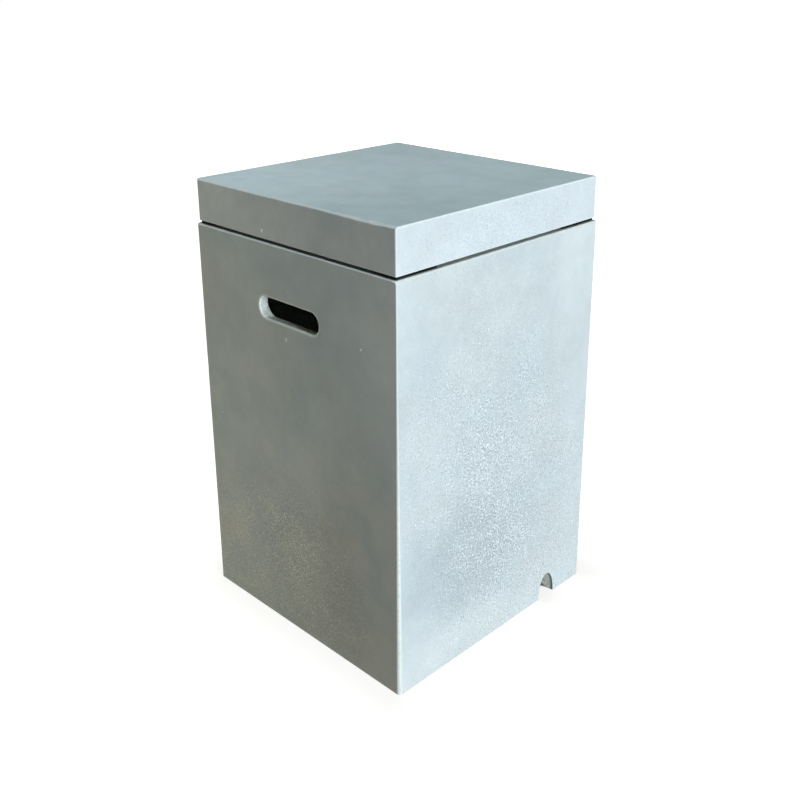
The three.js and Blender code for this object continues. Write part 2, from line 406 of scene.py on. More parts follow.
def notch_path():
    """For each station across the notch's field: the point on the arch's line, the direction out of
    the concrete there, the lip's radius, the share of the draft that it takes, and the place that it
    fans out to above."""
    foot = NOTCH_MIDDLE - NOTCH_HALF_WIDTH - GROUND_TURN
    shares = [np.arange(count) / count for count in PATH_STEPS]
    start = math.asin(GROUND_TURN / NOTCH_TOP)
    ground, turn, arch = shares[0], np.pi / 2 * (shares[1] - 1), start + (np.pi / 2 - start) * shares[2]
    steep = np.hypot(np.cos(arch) * NOTCH_TOP, np.sin(arch) * NOTCH_HALF_WIDTH)
    y = [notch_low + ground * (foot - notch_low), foot + GROUND_TURN * np.cos(turn),
         NOTCH_MIDDLE - NOTCH_HALF_WIDTH * np.cos(arch)]
    z = [0 * ground, GROUND_TURN * (1 + np.sin(turn)), NOTCH_TOP * np.sin(arch)]
    out_y = [0 * ground, np.cos(turn), np.cos(arch) * NOTCH_TOP / steep]
    out_z = [0 * ground - 1, np.sin(turn), -np.sin(arch) * NOTCH_HALF_WIDTH / steep]
    lip = [EDGE + ground * (NOTCH_LIP - EDGE), NOTCH_LIP + 0 * turn, NOTCH_LIP + 0 * arch]
    drawn = [ground, 1 + 0 * turn, 1 + 0 * arch]
    stops = (notch_low, *(foot + offset for offset in FAN_FROM_FOOT), NOTCH_MIDDLE)
    fan = [a + share * (b - a) for share, a, b in zip(shares, stops, stops[1:])]
    near = np.stack([np.concatenate(part) for part in (y, z, out_y, out_z, lip, drawn, fan)], -1)
    crown = np.array([[NOTCH_MIDDLE, NOTCH_TOP, 0, -1, NOTCH_LIP, 1, NOTCH_MIDDLE]])
    far = near[::-1] * (-1, 1, -1, 1, 1, 1, -1) + (2 * NOTCH_MIDDLE, 0, 0, 0, 0, 0, 2 * NOTCH_MIDDLE)
    return np.concatenate([near, crown, far]).T


def bend_round_notch(grid, plan, rows):
    """Moves the field's lower rows: the point on the arch's line, set back by the lip's quarter
    circle and scaled towards the notch's foot by the draft, and on the faces mixed with the level
    line by the row's share of the way up to it."""
    y, z, out_y, out_z, lip, drawn, fan = notch_path()
    stations = np.flatnonzero((plan.side == 1) & (plan.turn == 0) & (plan.along > notch_low - HOLD / 2)
                              & (plan.along < notch_high + HOLD / 2))
    low = np.flatnonzero(rows.z < NOTCH_FIELD_TOP - HOLD / 2)
    bend, across = rows.bend[low][:, None], rows.across[low][:, None]
    climb = np.where(bend == 0, (rows.z[low][:, None] - EDGE) / (NOTCH_FIELD_TOP - EDGE), 0)
    set_back, rounded = taken_off(lip, bend)
    scale = 1 - NOTCH_DRAFT / NOTCH_HALF_WIDTH * across * drawn
    path_y = NOTCH_MIDDLE + (y - out_y * set_back - NOTCH_MIDDLE) * scale
    path_z = (z - out_z * set_back) * scale
    place_y = (1 - climb) * path_y + climb * fan
    place_z = (1 - climb) * path_z + climb * NOTCH_FIELD_TOP
    depth = (1 - across) * rounded + across * (wall(place_z) - rounded)
    grid[np.ix_(low, stations)] = np.stack([HALF - depth, place_y, place_z], -1)
    level = np.flatnonzero((rows.bend == 0) & (rows.z > NOTCH_FIELD_TOP - HOLD / 2)
                           & (rows.z < NOTCH_FIELD_TOP + FAN_EASES_OVER))
    ease = ramp(rows.z[level], NOTCH_FIELD_TOP + FAN_EASES_OVER, NOTCH_FIELD_TOP)[:, None]
    grid[np.ix_(level, stations, [1])] = (ease * fan + (1 - ease) * plan.along[stations])[..., None]
    return stations


notch_stations = bend_round_notch(grid, shell_plan, rows)
print("notch:", notch_stations.size, "stations, top at", round(float(notch_path()[1].max()), 4), "m")

# %% [markdown]
# ## Shell: the hand slots
# A hand slot is a level bar with half-round ends. It widens a little inwards, and its lips are
# rounded so that fingers can take the weight. In the grid a field of cells is left out on both faces
# of the wall, and a sleeve joins the two: a flat collar that turns the rectangle into the slot's
# outline, a rounded lip, the jamb, and the same again on the inside.

# %% Slots
SLOT_OUTLINE = (32, 22)
COLLAR_MIXES = np.array([0.3, 0.6, 0.85, 0.97])
JAMB_SHARES = np.array([0.03, 0.3, 0.5, 0.7, 0.97])
PALE_AND_HIGHLIGHT_COLLAR = 0.9


def bar_outline(straight_steps, end_steps):
    """The centre along the bar and the angle of each point of an outline with half-round ends. It
    starts at the middle of one end and goes anticlockwise, and the centre is a share from -1 to 1."""
    quarter = np.linspace(0, np.pi / 2, end_steps // 2 + 1)
    top = np.linspace(1, -1, straight_steps + 1)[1:-1]
    one = np.ones(quarter.size)
    centre = np.concatenate([one, top, -one, -one[1:], -top, one[:-1]])
    turned = np.full(top.size, np.pi / 2)
    angle = np.concatenate([quarter, turned, quarter + np.pi / 2,
                            quarter[1:] + np.pi, turned + np.pi, quarter[:-1] + 1.5 * np.pi])
    return centre, angle


def rings_round_bar(outline, straight, middle, radius, mix, rim):
    """Rings of a bar's outline round its middle, one for each radius and each mixed with the rim of
    the bar's field. Gives the places along and across the bar."""
    centre, angle = bar_outline(*outline)
    along = mix * (straight * centre + middle[0] + radius * np.cos(angle)) + (1 - mix) * rim[0]
    across = mix * (middle[1] + radius * np.sin(angle)) + (1 - mix) * rim[1]
    return along, across


def field_rim(numbers, rising, columns):
    """The numbers round a rectangular field of the grid, from the middle of its last column up and
    anticlockwise. `rising` lists its rows in the order of growing height."""
    first, last = columns
    middle = len(rising) // 2
    return np.concatenate([
        numbers[rising[middle:], last], numbers[rising[-1], last - 1:first - 1:-1],
        numbers[rising[-2::-1], first], numbers[rising[0], first + 1:last], numbers[rising[:middle], last]])


def turned_to_side(side, along, outward, height):
    """Points given along and out from one side of the square, in the frame of the whole object."""
    return with_height(along[..., None] * AHEAD[side] + outward[..., None] * OUTWARD[side], height)


def slot_sleeve(skin, numbers, side, first):
    """Joins the two fields of one slot. Each ring is the outline at some radius, and the lips are
    quarter circles in radius and depth. The collar's rings are mixed with the field's rim."""
    columns = (first, first + SLOT_CELLS[0])
    in_field = np.flatnonzero((rows.bend == 0) & (np.abs(rows.z - SLOT_MIDDLE) < SLOT_FIELD[1] + HOLD / 2))
    outer = in_field[rows.across[in_field] == 0]
    inner = in_field[rows.across[in_field] == 1][::-1]
    rims = [field_rim(numbers, face, columns) for face in (outer, inner)]
    collar, lips, jamb = 0 * COLLAR_MIXES, 0 * QUARTER, 0 * JAMB_SHARES
    bend = np.concatenate([collar, QUARTER, jamb + np.pi / 2, QUARTER[::-1], collar])[:, None]
    across = np.concatenate([collar, lips, JAMB_SHARES, 1 + lips, 1 + collar])[:, None]
    mix = np.concatenate([COLLAR_MIXES, 1 + lips, 1 + jamb, 1 + lips, COLLAR_MIXES[::-1]])[:, None]
    lip = SLOT_LIP + (SLOT_INNER_LIP - SLOT_LIP) * across
    flared, rounded = taken_off(lip, bend)
    radius = SLOT_HALF_HEIGHT + SLOT_SPLAY * across + flared
    on_rim = [skin.place(rims[0]) @ way for way in (np.append(AHEAD[side], 0), (0, 0, 1))]
    along, height = rings_round_bar(SLOT_OUTLINE, SLOT_HALF_LENGTH - SLOT_HALF_HEIGHT,
                                    (-SLOT_OFF_MIDDLE, SLOT_MIDDLE), radius, mix, on_rim)
    depth = (1 - across) * rounded + across * (wall(height) - rounded)
    # The lip and the collar's ring next to it take the pale arris colour, partly rubbed wear and partly a
    # painted highlight round the slot.
    arris = np.where((bend < np.pi / 2) & (mix > PALE_AND_HIGHLIGHT_COLLAR), 1.0, 0.0)
    sleeve = skin.add(turned_to_side(side, along, HALF - depth, height), arris)
    skin.weave(wrapped(np.concatenate([rims[0][None], sleeve, rims[1][None]])))
    return outer, inner, columns


# %% [markdown]
# ## Air holes
# Concrete keeps a few air bubbles against the mould, and each leaves a round hole of a millimetre or
# two. Bump shading alone can't hide what lies behind a hole's rim, so the larger ones are real: one
# cell of the grid gives way to a small bowl.

# %% Air holes
BOWL_SHARES = np.array([1.0, 0.86, 0.55])[:, None]
BOWL_DEPTH, BOWL_ROOM = 1.1, 1.2
PALE_RADII = (0.0009, 0.0013)
HOLES_WITHIN = 0.92


def bowl(skin, cell, place, outward, radius):
    """A round bowl in one cell: rings of eight points at shares of the radius, each as deep as a
    squashed sphere is there. It lies at its own place as far as the cell has room, and the rings of
    a large one get the arris mark's pale colour, so that it shows as a pale speck."""
    corners = skin.place(np.array(cell))
    room = np.maximum(np.ptp(corners, 0) / 2 - BOWL_ROOM * radius, 0)
    middle = corners.mean(0) + np.clip(place - corners.mean(0), -room, room)
    right, up = corners[1] - corners[0], corners[3] - corners[0]
    right, up = right / np.linalg.norm(right), up / np.linalg.norm(up)
    angle = (1.25 * np.pi + np.arange(8) * np.pi / 4)[:, None]
    around = BOWL_SHARES[..., None] * radius * (np.cos(angle) * right + np.sin(angle) * up)
    sunk = radius * np.sqrt(1 - BOWL_SHARES ** 2) * BOWL_DEPTH
    rings = skin.add(middle + around - sunk[..., None] * outward, ramp(radius, *PALE_RADII))
    bottom = int(skin.add((middle - BOWL_DEPTH * radius * outward)[None])[0])
    for k in range(4):
        rim = rings[0][[(2 * k + 2) % 8, 2 * k + 1, 2 * k]]
        skin.faces.append([cell[k], cell[(k + 1) % 4], *rim.tolist()])
    skin.weave(wrapped(rings))
    last = wrapped(rings[-1:])[0].tolist()
    skin.faces += [[a, b, bottom] for a, b in zip(last[:-1], last[1:])]


def pierce(skin, numbers, keep, allowed, spots):
    """Puts a bowl at each spot (place, outward direction, radius), in the allowed cell whose middle is
    nearest to it, and takes that cell out of the grid."""
    points = skin.place(numbers)
    middles = (points[:-1, :-1] + points[1:, 1:]) / 2
    free = allowed.copy()
    for place, outward, radius in spots:
        distance = np.linalg.norm(middles - place, axis=-1) + np.where(free, 0, 1)
        row, column = np.unravel_index(distance.argmin(), distance.shape)
        free[row, column] = keep[row, column] = False
        cell = [int(numbers[row + a, column + b]) for a, b in ((0, 0), (0, 1), (1, 1), (1, 0))]
        bowl(skin, cell, place, outward, radius)


def spots_on_sides(seed, count, half, heights, radii, seen):
    """Air holes as (place, outward direction, radius): the one seen in front, given as its place
    along the side, height and radius, and then others at random on the four sides."""
    draw = np.random.default_rng(seed)
    picked = [(0, *seen)]
    for _ in range(count):
        side = draw.integers(4)
        along, height = draw.uniform(-HOLES_WITHIN, HOLES_WITHIN) * half, draw.uniform(*heights)
        picked.append((side, along, height, draw.uniform(*radii)))
    spots = []
    for side, along, height, radius in picked:
        outward = np.append(OUTWARD[side], 0.0)
        spots.append((np.append(AHEAD[side] * along, height) + half * outward, outward, radius))
    return spots


# %% [markdown]
# ## From skin to mesh
# The finished skin becomes a mesh, and only then gets its unevenness: a casting is never dead flat,
# its arrises are knocked here and there, and all of that takes material away. So each point moves
# straight inwards, by smooth noise on the faces and a sharper one along the arrises.

# %% Meshing
WAVES = ((0.085, 0.7), (0.028, 0.3))
KNOCK_CELL, KNOCKS_FROM = 0.012, 0.55
RUB_CELL, RUB_SHARE = 0.05, 0.25
FLAT_FOOT = 0.004


def points_and_normals(piece):
    """The mesh's points and their normals, as arrays."""
    points, normals = (np.zeros(len(piece.data.vertices) * 3) for _ in range(2))
    piece.data.vertices.foreach_get("co", points)
    piece.data.vertex_normals.foreach_get("vector", normals)
    return points.reshape(-1, 3), normals.reshape(-1, 3)


def write_mark(piece, name, values):
    """Keeps one value for each point, for the material to read."""
    piece.data.attributes.new(name, "FLOAT", "POINT").data.foreach_set("value", values.astype(np.float32))
    print(piece.name, name, "on", int((values > 0.05).sum()), "points, up to", round(float(values.max()), 2))


def make_piece(name, skin, wave, wear, seed, floor=None):
    """Builds the mesh, sinks its points and keeps the arris marks. The depth is the wave's height
    times noise of two sizes, plus the wear where the noise along an arris passes a threshold."""
    points, marks = np.concatenate(skin.points), np.concatenate(skin.marks)
    mesh = bpy.data.meshes.new(name)
    mesh.from_pydata(points, [], skin.faces)
    mesh.update()
    piece = in_scene(name, mesh)
    normals = points_and_normals(piece)[1]
    broad = sum(share * soft_noise(points, cell, seed + i) for i, (cell, share) in enumerate(WAVES))
    knocked = ramp(soft_noise(points, KNOCK_CELL, seed + 2), KNOCKS_FROM, 1.0)
    rubbed = RUB_SHARE * soft_noise(points, RUB_CELL, seed + 3)
    depth = wave * broad + wear * marks * (knocked + rubbed)
    if floor is not None:
        depth = depth * ramp(points[:, 2], floor, floor + FLAT_FOOT)
    moved = np.clip(points - normals * depth[:, None], *cad_box)
    mesh.vertices.foreach_set("co", moved.ravel())
    mesh.shade_smooth()
    mesh.update()
    write_mark(piece, "arris", marks)
    check_closed(piece)
    return piece


def check_closed(piece):
    """Prints whether each edge joins two faces that turn the same way, and the volume."""
    body = bmesh.new()
    body.from_mesh(piece.data)
    odd = sum(1 for edge in body.edges if not (edge.is_manifold and edge.is_contiguous))
    litres = body.calc_volume(signed=True) * 1000
    triangles = sum(len(face.verts) - 2 for face in body.faces)
    print(piece.name, "odd edges:", odd, "litres:", round(litres, 3), "triangles:", triangles)
    body.free()


# %% [markdown]
# ## The shell, put together
# The sleeves and bowls are fitted first, since they decide which cells of the grid stay. The hole
# that the photograph shows as a pale speck under the slot is one of the larger ones.

# %% Shell piece
SEEN_SHELL_SPECK = (-0.0067, 0.4537, 0.0013)
SHELL_HOLES, SHELL_HOLE_HEIGHTS, SHELL_HOLE_RADII = 22, (0.08, 0.56), (0.0004, 0.0009)
SHELL_WAVE, SHELL_WEAR = 0.00030, 0.00035


def make_shell():
    """The whole shell: the grid less its fields, two slot sleeves and the air holes."""
    skin = Skin()
    corner = (shell_plan.turn > 0)[None] & (rows.across < RIM_SHARES[0] / 2)[:, None]
    edge = ((rows.bend > 0) & (rows.bend < np.pi / 2))[:, None]
    # Corners, rounded edges and the worn rim get the pale arris colour: partly rubbed wear, partly painted
    # highlight.
    numbers = skin.add(grid, np.maximum(corner | edge, rim_worn_and_highlight))
    looped = wrapped(wrapped(numbers), 0)
    keep = np.ones((rows.z.size, shell_plan.along.size), bool)
    for side in (0, 2):
        first = first_station(shell_plan, side, slot_field[0])
        outer, inner, (left, right) = slot_sleeve(skin, numbers, side, first)
        for face in (outer, inner[::-1]):
            keep[face[0]:face[-1], left:right] = False
    spots = spots_on_sides(43, SHELL_HOLES, HALF, SHELL_HOLE_HEIGHTS, SHELL_HOLE_RADII, SEEN_SHELL_SPECK)
    pierce(skin, looped, keep, keep & (rows.across == 0)[:, None], spots)
    skin.weave(looped, keep)
    return make_piece("shell_casting", skin, SHELL_WAVE, SHELL_WEAR, 11, floor=0.0)


shell = make_shell()

# %% [markdown]
# ## Lid: a hollow slab
# The lid looks like a solid slab, but it is cast as a tray, or it would be too heavy to lift. Its
# rows run out of the hollow, across the underside, up the side and over the top edge, carried round
# the plan as the shell's are. The top and the hollow's ceiling are patches that fill a closed ring:
# each inner point is mixed from the four points that face it on the ring's four sides.

# %% Lid sizes
LID_HALF = lid_high.x
LID_TOP = lid_high.z
LID_UNDER = LID_TOP - 0.0600
LID_CORNER, LID_FRONT_CORNER, LID_EDGE, LID_FOOT_EDGE = 0.0040, 0.0022, 0.0018, 0.0012
MOUTH_HALF, MOUTH_CORNER, MOUTH_EDGE = 0.1633, 0.0200, 0.0020
HOLLOW_DEPTH, HOLLOW_DRAFT, HOLLOW_FILLET, HOLLOW_FILLET_STEPS = 0.0400, 0.0030, 0.0100, 6
WORN_BAND = 0.0066
CURB_FIELD_HALF, CURB_LINES, CURB_CELLS = 0.1110, (0.1662, 0.1828), (40, 4)
LID_STEP, LID_FINE_STEP, LID_KEPT = 0.0060, 0.0012, 0.1130

lid_reach = LID_HALF - LID_CORNER
lid_marks = marks_along(lid_reach, LID_STEP, -CURB_FIELD_HALF, CURB_FIELD_HALF, CURB_CELLS[0])
lid_plan = square_plan([lid_marks] * 4, LID_KEPT, lid_reach)
print("lid's plan:", lid_plan.along.size, "stations")

# %% Lid section
LidRow = collections.namedtuple("LidRow", "half corner z arris")


def stretch(half, corner, z, arris=0.0):
    """Rows of one stretch of the section, where a value that stays the same is a single number."""
    return np.stack(np.broadcast_arrays(half, corner, z, arris), -1)


def lid_rows():
    """Rows of the lid's section, from the ceiling's ring out to the top's: the half width, the corner
    radius, the height, and whether the row lies on an arris."""
    ceiling = stretch([MOUTH_HALF - HOLLOW_DRAFT - HOLLOW_FILLET - HOLD], MOUTH_CORNER - HOLLOW_FILLET - HOLD,
                      LID_UNDER + HOLLOW_DEPTH)
    fillet = np.linspace(0, np.pi / 2, HOLLOW_FILLET_STEPS + 1)[::-1]
    straight = spaced(HOLLOW_DEPTH - HOLLOW_FILLET - HOLD, LID_STEP, MOUTH_EDGE + HOLD, HOLD, MOUTH_EDGE)
    below, inset = taken_off(HOLLOW_FILLET, fillet)
    rise, inset = np.concatenate([HOLLOW_DEPTH - below, straight]), np.concatenate([inset, 0 * straight])
    lean = HOLLOW_DRAFT / HOLLOW_DEPTH
    hollow = stretch(MOUTH_HALF - lean * rise - inset, MOUTH_CORNER - inset, LID_UNDER + rise)
    rise, let_out = taken_off(MOUTH_EDGE, QUARTER)
    lip = stretch(MOUTH_HALF + let_out, MOUTH_CORNER + let_out, LID_UNDER + rise, 1.0)[1:]
    mouth, edge = MOUTH_HALF + MOUTH_EDGE, LID_HALF - LID_FOOT_EDGE
    half = spaced(mouth + HOLD, LID_FINE_STEP, CURB_LINES[0], (CURB_LINES[1] - CURB_LINES[0]) / CURB_CELLS[1],
                  CURB_LINES[1], LID_STEP, edge - HOLD)
    share = (half - mouth) / (edge - mouth)
    corner = (1 - share) * (MOUTH_CORNER + MOUTH_EDGE) + share * (LID_CORNER - LID_FOOT_EDGE)
    band = stretch(half, corner, LID_UNDER)
    drawn_in, rise = taken_off(LID_FOOT_EDGE, QUARTER)
    foot_edge = stretch(LID_HALF - drawn_in, LID_CORNER - drawn_in, LID_UNDER + rise, 1.0)
    height = spaced(LID_UNDER + LID_FOOT_EDGE + HOLD, LID_STEP, LID_TOP - WORN_BAND,
                    LID_FINE_STEP, LID_TOP - LID_EDGE - HOLD)
    face = stretch(LID_HALF, LID_CORNER, height)
    drawn_in, drop = (part[::-1] for part in taken_off(LID_EDGE, QUARTER))
    top_edge = stretch(LID_HALF - drawn_in, LID_CORNER - drawn_in, LID_TOP - drop, 1.0)
    half = spaced(LID_HALF - LID_EDGE - HOLD, LID_FINE_STEP, LID_HALF - WORN_BAND)
    top = stretch(half, LID_CORNER - LID_HALF + half, LID_TOP)
    return LidRow(*np.concatenate([ceiling, hollow, lip, band, foot_edge, face, top_edge[1:], top]).T)


def lid_corners(rows):
    """The corner radius for each row and station: the front corner's is less on the outside."""
    outside = ramp(rows.half, LID_HALF - 2 * WORN_BAND, LID_HALF - LID_EDGE)[:, None]
    less = (LID_CORNER - LID_FRONT_CORNER) * outside * at_front_corner(lid_plan)
    return np.maximum(rows.corner[:, None] - less, LEAST_CORNER)


# %% Worn lid
WORN_LEG, WORN_LEG_AT_RIGHT, WORN_TO_RIGHT = 0.0023, 0.0027, (0.0, 0.19)
LID_WEAR_CELL, LID_WEAR_LEAST, LID_WEAR_VARIES = 0.020, 0.85, 0.3
RAGGED_FROM, RAGGED_BY, RAGGED_CELL = (0.06, 0.16), 0.7, 0.006
SPREADS_FROM, SPREADS_BY, SPREAD_CELL, SPREAD_LEAST = (0.05, 0.17), 0.0085, 0.007, 0.3
SPREAD_EVERYWHERE, SPREAD_FULL_SHARE, SPREAD_PALENESS = 0.0002, 0.4, 0.7


def worn_lid(points):
    """The front of the top edge is worn. Towards the right the wear is ragged and spreads on the top."""
    across = points[..., 0]
    ragged = RAGGED_BY * ramp(across, *RAGGED_FROM)
    uneven = LID_WEAR_LEAST + LID_WEAR_VARIES * soft_noise(points, LID_WEAR_CELL, 41)
    uneven = uneven + ragged * (soft_noise(points, RAGGED_CELL, 42) - 0.5)
    leg = (WORN_LEG + (WORN_LEG_AT_RIGHT - WORN_LEG) * ramp(across, *WORN_TO_RIGHT)) * uneven
    moved, worn = knocked_off(points, LID_TOP, LID_HALF, 0, leg)
    spread = ramp(across, *SPREADS_FROM) * (SPREAD_LEAST + soft_noise(points, SPREAD_CELL, 43))
    reach = SPREAD_EVERYWHERE + SPREADS_BY * spread
    rubbed = ramp(LID_HALF + points[..., 1], reach, SPREAD_FULL_SHARE * reach)
    return moved, np.maximum(worn, SPREAD_PALENESS * rubbed * (points[..., 2] > LID_TOP - LID_EDGE))


# %% Patches over a ring
def patch_over(skin, rim, flip=False):
    """Fills a ring of four equal sides: a point is the mix of the two points facing it on one pair
    of sides, plus that of the other pair, less the mix of the four corners."""
    rim = np.roll(rim, CORNER_STEPS // 2)
    count = rim.size // 4
    front, right, back, left = (wrapped(rim[None])[0][i * count:(i + 1) * count + 1] for i in range(4))
    back, left = back[::-1], left[::-1]
    share = np.linspace(0, 1, count + 1)[1:-1]
    u, v = share[:, None], share[:, None, None]
    at = skin.place
    across = (1 - v) * at(front)[None, 1:-1] + v * at(back)[None, 1:-1]
    along = (1 - u) * at(left)[1:-1, None] + u * at(right)[1:-1, None]
    corners = ((1 - v) * ((1 - u) * at(front[0]) + u * at(front[-1]))
               + v * ((1 - u) * at(back[0]) + u * at(back[-1])))
    inner = skin.add(across + along - corners)
    numbers = np.concatenate([front[None], np.column_stack([left[1:-1], inner, right[1:-1]]), back[None]])
    skin.weave(numbers.T if flip else numbers)


# %% [markdown]
# ## Lid: the curbs
# Four low bars are cast under the lid. They drop inside the shell's rim, so the lid can't slide off
# when somebody leans on it. Each one grows out of a field of the underside, with a small fillet at
# its root and a rounded edge, and a ladder of faces between its two long sides closes its end.

# %% Curbs
CURB_OUTER, CURB_WIDTH, CURB_HALF_LENGTH, CURB_DROP = 0.1800, 0.0110, 0.1058, 0.0100
CURB_FILLET, CURB_EDGE = 0.0012, 0.0020
CURB_OUTLINE = (32, 12)
CURB_MIXES = np.array([0.6, 0.9])


def curb(skin, numbers, rows, side, first):
    """One curb: rings of its outline at radii and depths that go down the fillet, the side, the
    rounded edge and the end."""
    columns = (first, first + CURB_CELLS[0])
    field = np.flatnonzero((rows.half > CURB_LINES[0] - HOLD / 4) & (rows.half < CURB_LINES[1] + HOLD / 4)
                           & (rows.z == LID_UNDER))
    rim = field_rim(numbers, field, columns)
    half_width = CURB_WIDTH / 2
    wider, root_down = taken_off(CURB_FILLET, QUARTER)
    edge_up, narrower = taken_off(CURB_EDGE, QUARTER)
    side_wall = np.linspace(CURB_FILLET + HOLD, CURB_DROP - CURB_EDGE - HOLD, 3)
    radius = half_width + np.concatenate([0 * CURB_MIXES + CURB_FILLET, wider, 0 * side_wall, -narrower,
                                          [-CURB_EDGE - HOLD]])[:, None]
    down = np.concatenate([0 * CURB_MIXES, root_down, side_wall, CURB_DROP - edge_up, [CURB_DROP]])[:, None]
    mix = np.concatenate([CURB_MIXES, np.ones(radius.size - CURB_MIXES.size)])[:, None]
    on_rim = [skin.place(rim) @ np.append(way[side], 0) for way in (AHEAD, OUTWARD)]
    along, outward = rings_round_bar(CURB_OUTLINE, CURB_HALF_LENGTH - half_width,
                                     (0, CURB_OUTER - half_width), radius, mix, on_rim)
    worn = np.concatenate([np.zeros(radius.size - EDGE_STEPS - 2), np.ones(EDGE_STEPS + 1), [0]])[:, None]
    sleeve = skin.add(turned_to_side(side, along, outward, LID_UNDER - down), worn)
    skin.weave(wrapped(np.concatenate([rim[None], sleeve])))
    end, half_count = sleeve[-1], sleeve.shape[1] // 2
    facing = np.roll(end[::-1], 1)
    skin.faces += [end[[0, 1, -1]].tolist(), end[[half_count, half_count + 1, half_count - 1]].tolist()]
    steps = np.arange(1, half_count - 1)
    skin.faces += np.stack([end[steps], end[steps + 1], facing[steps + 1], facing[steps]], -1).tolist()
    return field, columns


# %% Lid piece
SEEN_LID_SPECK = (-0.0508, 0.5956, 0.0011)
LID_HOLES, LID_HOLES_OFF_EDGE, LID_HOLE_RADII = 7, 0.008, (0.0004, 0.0007)
LID_WAVE, LID_WEAR = 0.00028, 0.00030


def make_lid():
    """The whole lid: the rows round the plan, the four curbs, the air holes and both patches."""
    rows = lid_rows()
    skin = Skin()
    upright = (lid_plan.turn > 0)[None] & (rows.half >= LID_HALF - LID_EDGE / 2)[:, None]
    points, worn = worn_lid(with_height(ring(lid_plan, rows.half, lid_corners(rows)), rows.z[:, None]))
    numbers = skin.add(points, np.maximum(np.maximum(rows.arris[:, None], upright), worn))
    keep = np.ones((rows.z.size - 1, lid_plan.along.size), bool)
    for side in range(4):
        first = first_station(lid_plan, side, -CURB_FIELD_HALF)
        field, (left, right) = curb(skin, numbers, rows, side, first)
        keep[field[0]:field[-1], left:right] = False
    on_side = rows.half == LID_HALF
    heights = (LID_UNDER + LID_HOLES_OFF_EDGE, LID_TOP - LID_HOLES_OFF_EDGE)
    spots = spots_on_sides(7, LID_HOLES, LID_HALF, heights, LID_HOLE_RADII, SEEN_LID_SPECK)
    pierce(skin, wrapped(numbers), keep, keep & (on_side[:-1] & on_side[1:])[:, None], spots)
    skin.weave(wrapped(numbers), keep)
    patch_over(skin, numbers[-1])
    patch_over(skin, numbers[0], flip=True)
    return make_piece("lid_casting", skin, LID_WAVE, LID_WEAR, 23)


lid = make_lid()

# %% [markdown]
# ## Rubber pads
# Four pads of soft black rubber are glued under the lid. Each is a slab with round corners that
# bulges a little at its sides, because it carries the lid's weight.

# %% Pads
PAD_CORNER, PAD_EDGE, PAD_EDGE_STEPS, PAD_INSET = 0.0015, 0.0009, 4, 0.0002
PAD_CELLS = (8, 18, 8, 18)
PAD_END_SHARES = (0.9, 0.95, 0)
PAD_WAVE = 0.00005


def make_pad(node):
    """One pad: the outline of its box with round corners, drawn in at its top and bottom edge by a
    quarter circle, and let out again by a shallow bulge in between."""
    low, high = (np.array(corner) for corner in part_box(node))
    middle = (low + high) / 2
    half = (high - low) / 2
    bend = np.linspace(0, np.pi / 2, PAD_EDGE_STEPS + 1)
    draw_in, drop = taken_off(PAD_EDGE, bend)
    rise = np.concatenate([drop, [half[2]], 2 * half[2] - drop[::-1]])
    inset = np.concatenate([PAD_INSET + draw_in, [0], PAD_INSET + draw_in[::-1]])
    angle = np.linspace(0, np.pi / 2, CORNER_STEPS + 1)[:-1]
    outline = []
    for side, cells in enumerate(PAD_CELLS):
        reach, out = (half[:2] - PAD_CORNER)[[side % 2, 1 - side % 2]]
        marks = np.linspace(-1, 1, cells + 1)[:-1]
        ahead = np.concatenate([marks * reach, reach + 0 * angle])
        turn = np.concatenate([0 * marks, angle])
        outline.append(np.stack(np.broadcast_arrays(ahead, out, turn, side), -1))
    ahead, out, turn, side = np.concatenate(outline).T
    side = side.astype(int)
    corner = (PAD_CORNER - inset)[:, None]
    flat = ((ahead + corner * np.sin(turn))[..., None] * AHEAD[side]
            + (out + corner * np.cos(turn))[..., None] * OUTWARD[side])
    skin = Skin()
    numbers = skin.add(with_height(flat, (rise - half[2])[:, None]) + middle)
    skin.weave(wrapped(numbers))
    for end, order in ((numbers[-1], 1), (numbers[0], -1)):
        inner = skin.place(end)
        inner = skin.add(middle * (1, 1, 0) + (inner - middle) * PAD_END_SHARES + inner * (0, 0, 1))
        skin.weave(wrapped(np.stack([end, inner][::order])))
        skin.faces.append(inner[::order].tolist())
    return make_piece(node.replace("pad_", "rubber_"), skin, PAD_WAVE, 0.0, 31)


pads = {node: make_pad(node) for node in sorted(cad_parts) if node.startswith("pad_")}

# %% [markdown]
# ## Concrete: shared effects
# The finish is built from three effects, each a node group. Sandy grain is what shows where the
# fine paste has worn off the sand: small pale specks over a fine tooth. Clouds are the broad patches
# of tone that wet concrete dries to. Pinholes are the smallest air bubbles. All of them read Object
# coordinates, so the pattern runs through the block like the real mix does.

# %% Node helpers
def node(tree, kind, values=(), **settings):
    """Adds a node, sets its properties, and fills its sockets: a socket among the values is linked."""
    made = tree.nodes.new(kind)
    for name, value in settings.items():
        setattr(made, name, value)
    for key, value in dict(values).items():
        if isinstance(value, bpy.types.NodeSocket):
            tree.links.new(value, made.inputs[key])
        else:
            made.inputs[key].default_value = value
    return made


def math_node(tree, operation, *values):
    """One sum, product or the like of sockets and numbers."""
    return node(tree, "ShaderNodeMath", enumerate(values), operation=operation).outputs[0]


def times(tree, first, second):
    """The product of two values."""
    return math_node(tree, "MULTIPLY", first, second)


def scaled(tree, value, factor, start):
    """The value times the factor, plus the start."""
    return math_node(tree, "MULTIPLY_ADD", value, factor, start)


def mixed(tree, share, first, second, blend="MIX"):
    """Mixes two colours."""
    mix = node(tree, "ShaderNodeMix", {0: share, 6: first, 7: second}, data_type="RGBA", blend_type=blend)
    return mix.outputs[2]


def remapped(tree, value, start, stop, low=0.0, high=1.0):
    """Takes the stretch from start to stop over to low to high, smoothly and without overshoot."""
    made = node(tree, "ShaderNodeMapRange", {0: value, 1: start, 2: stop, 3: low, 4: high},
                interpolation_type="SMOOTHSTEP")
    return made.outputs[0]


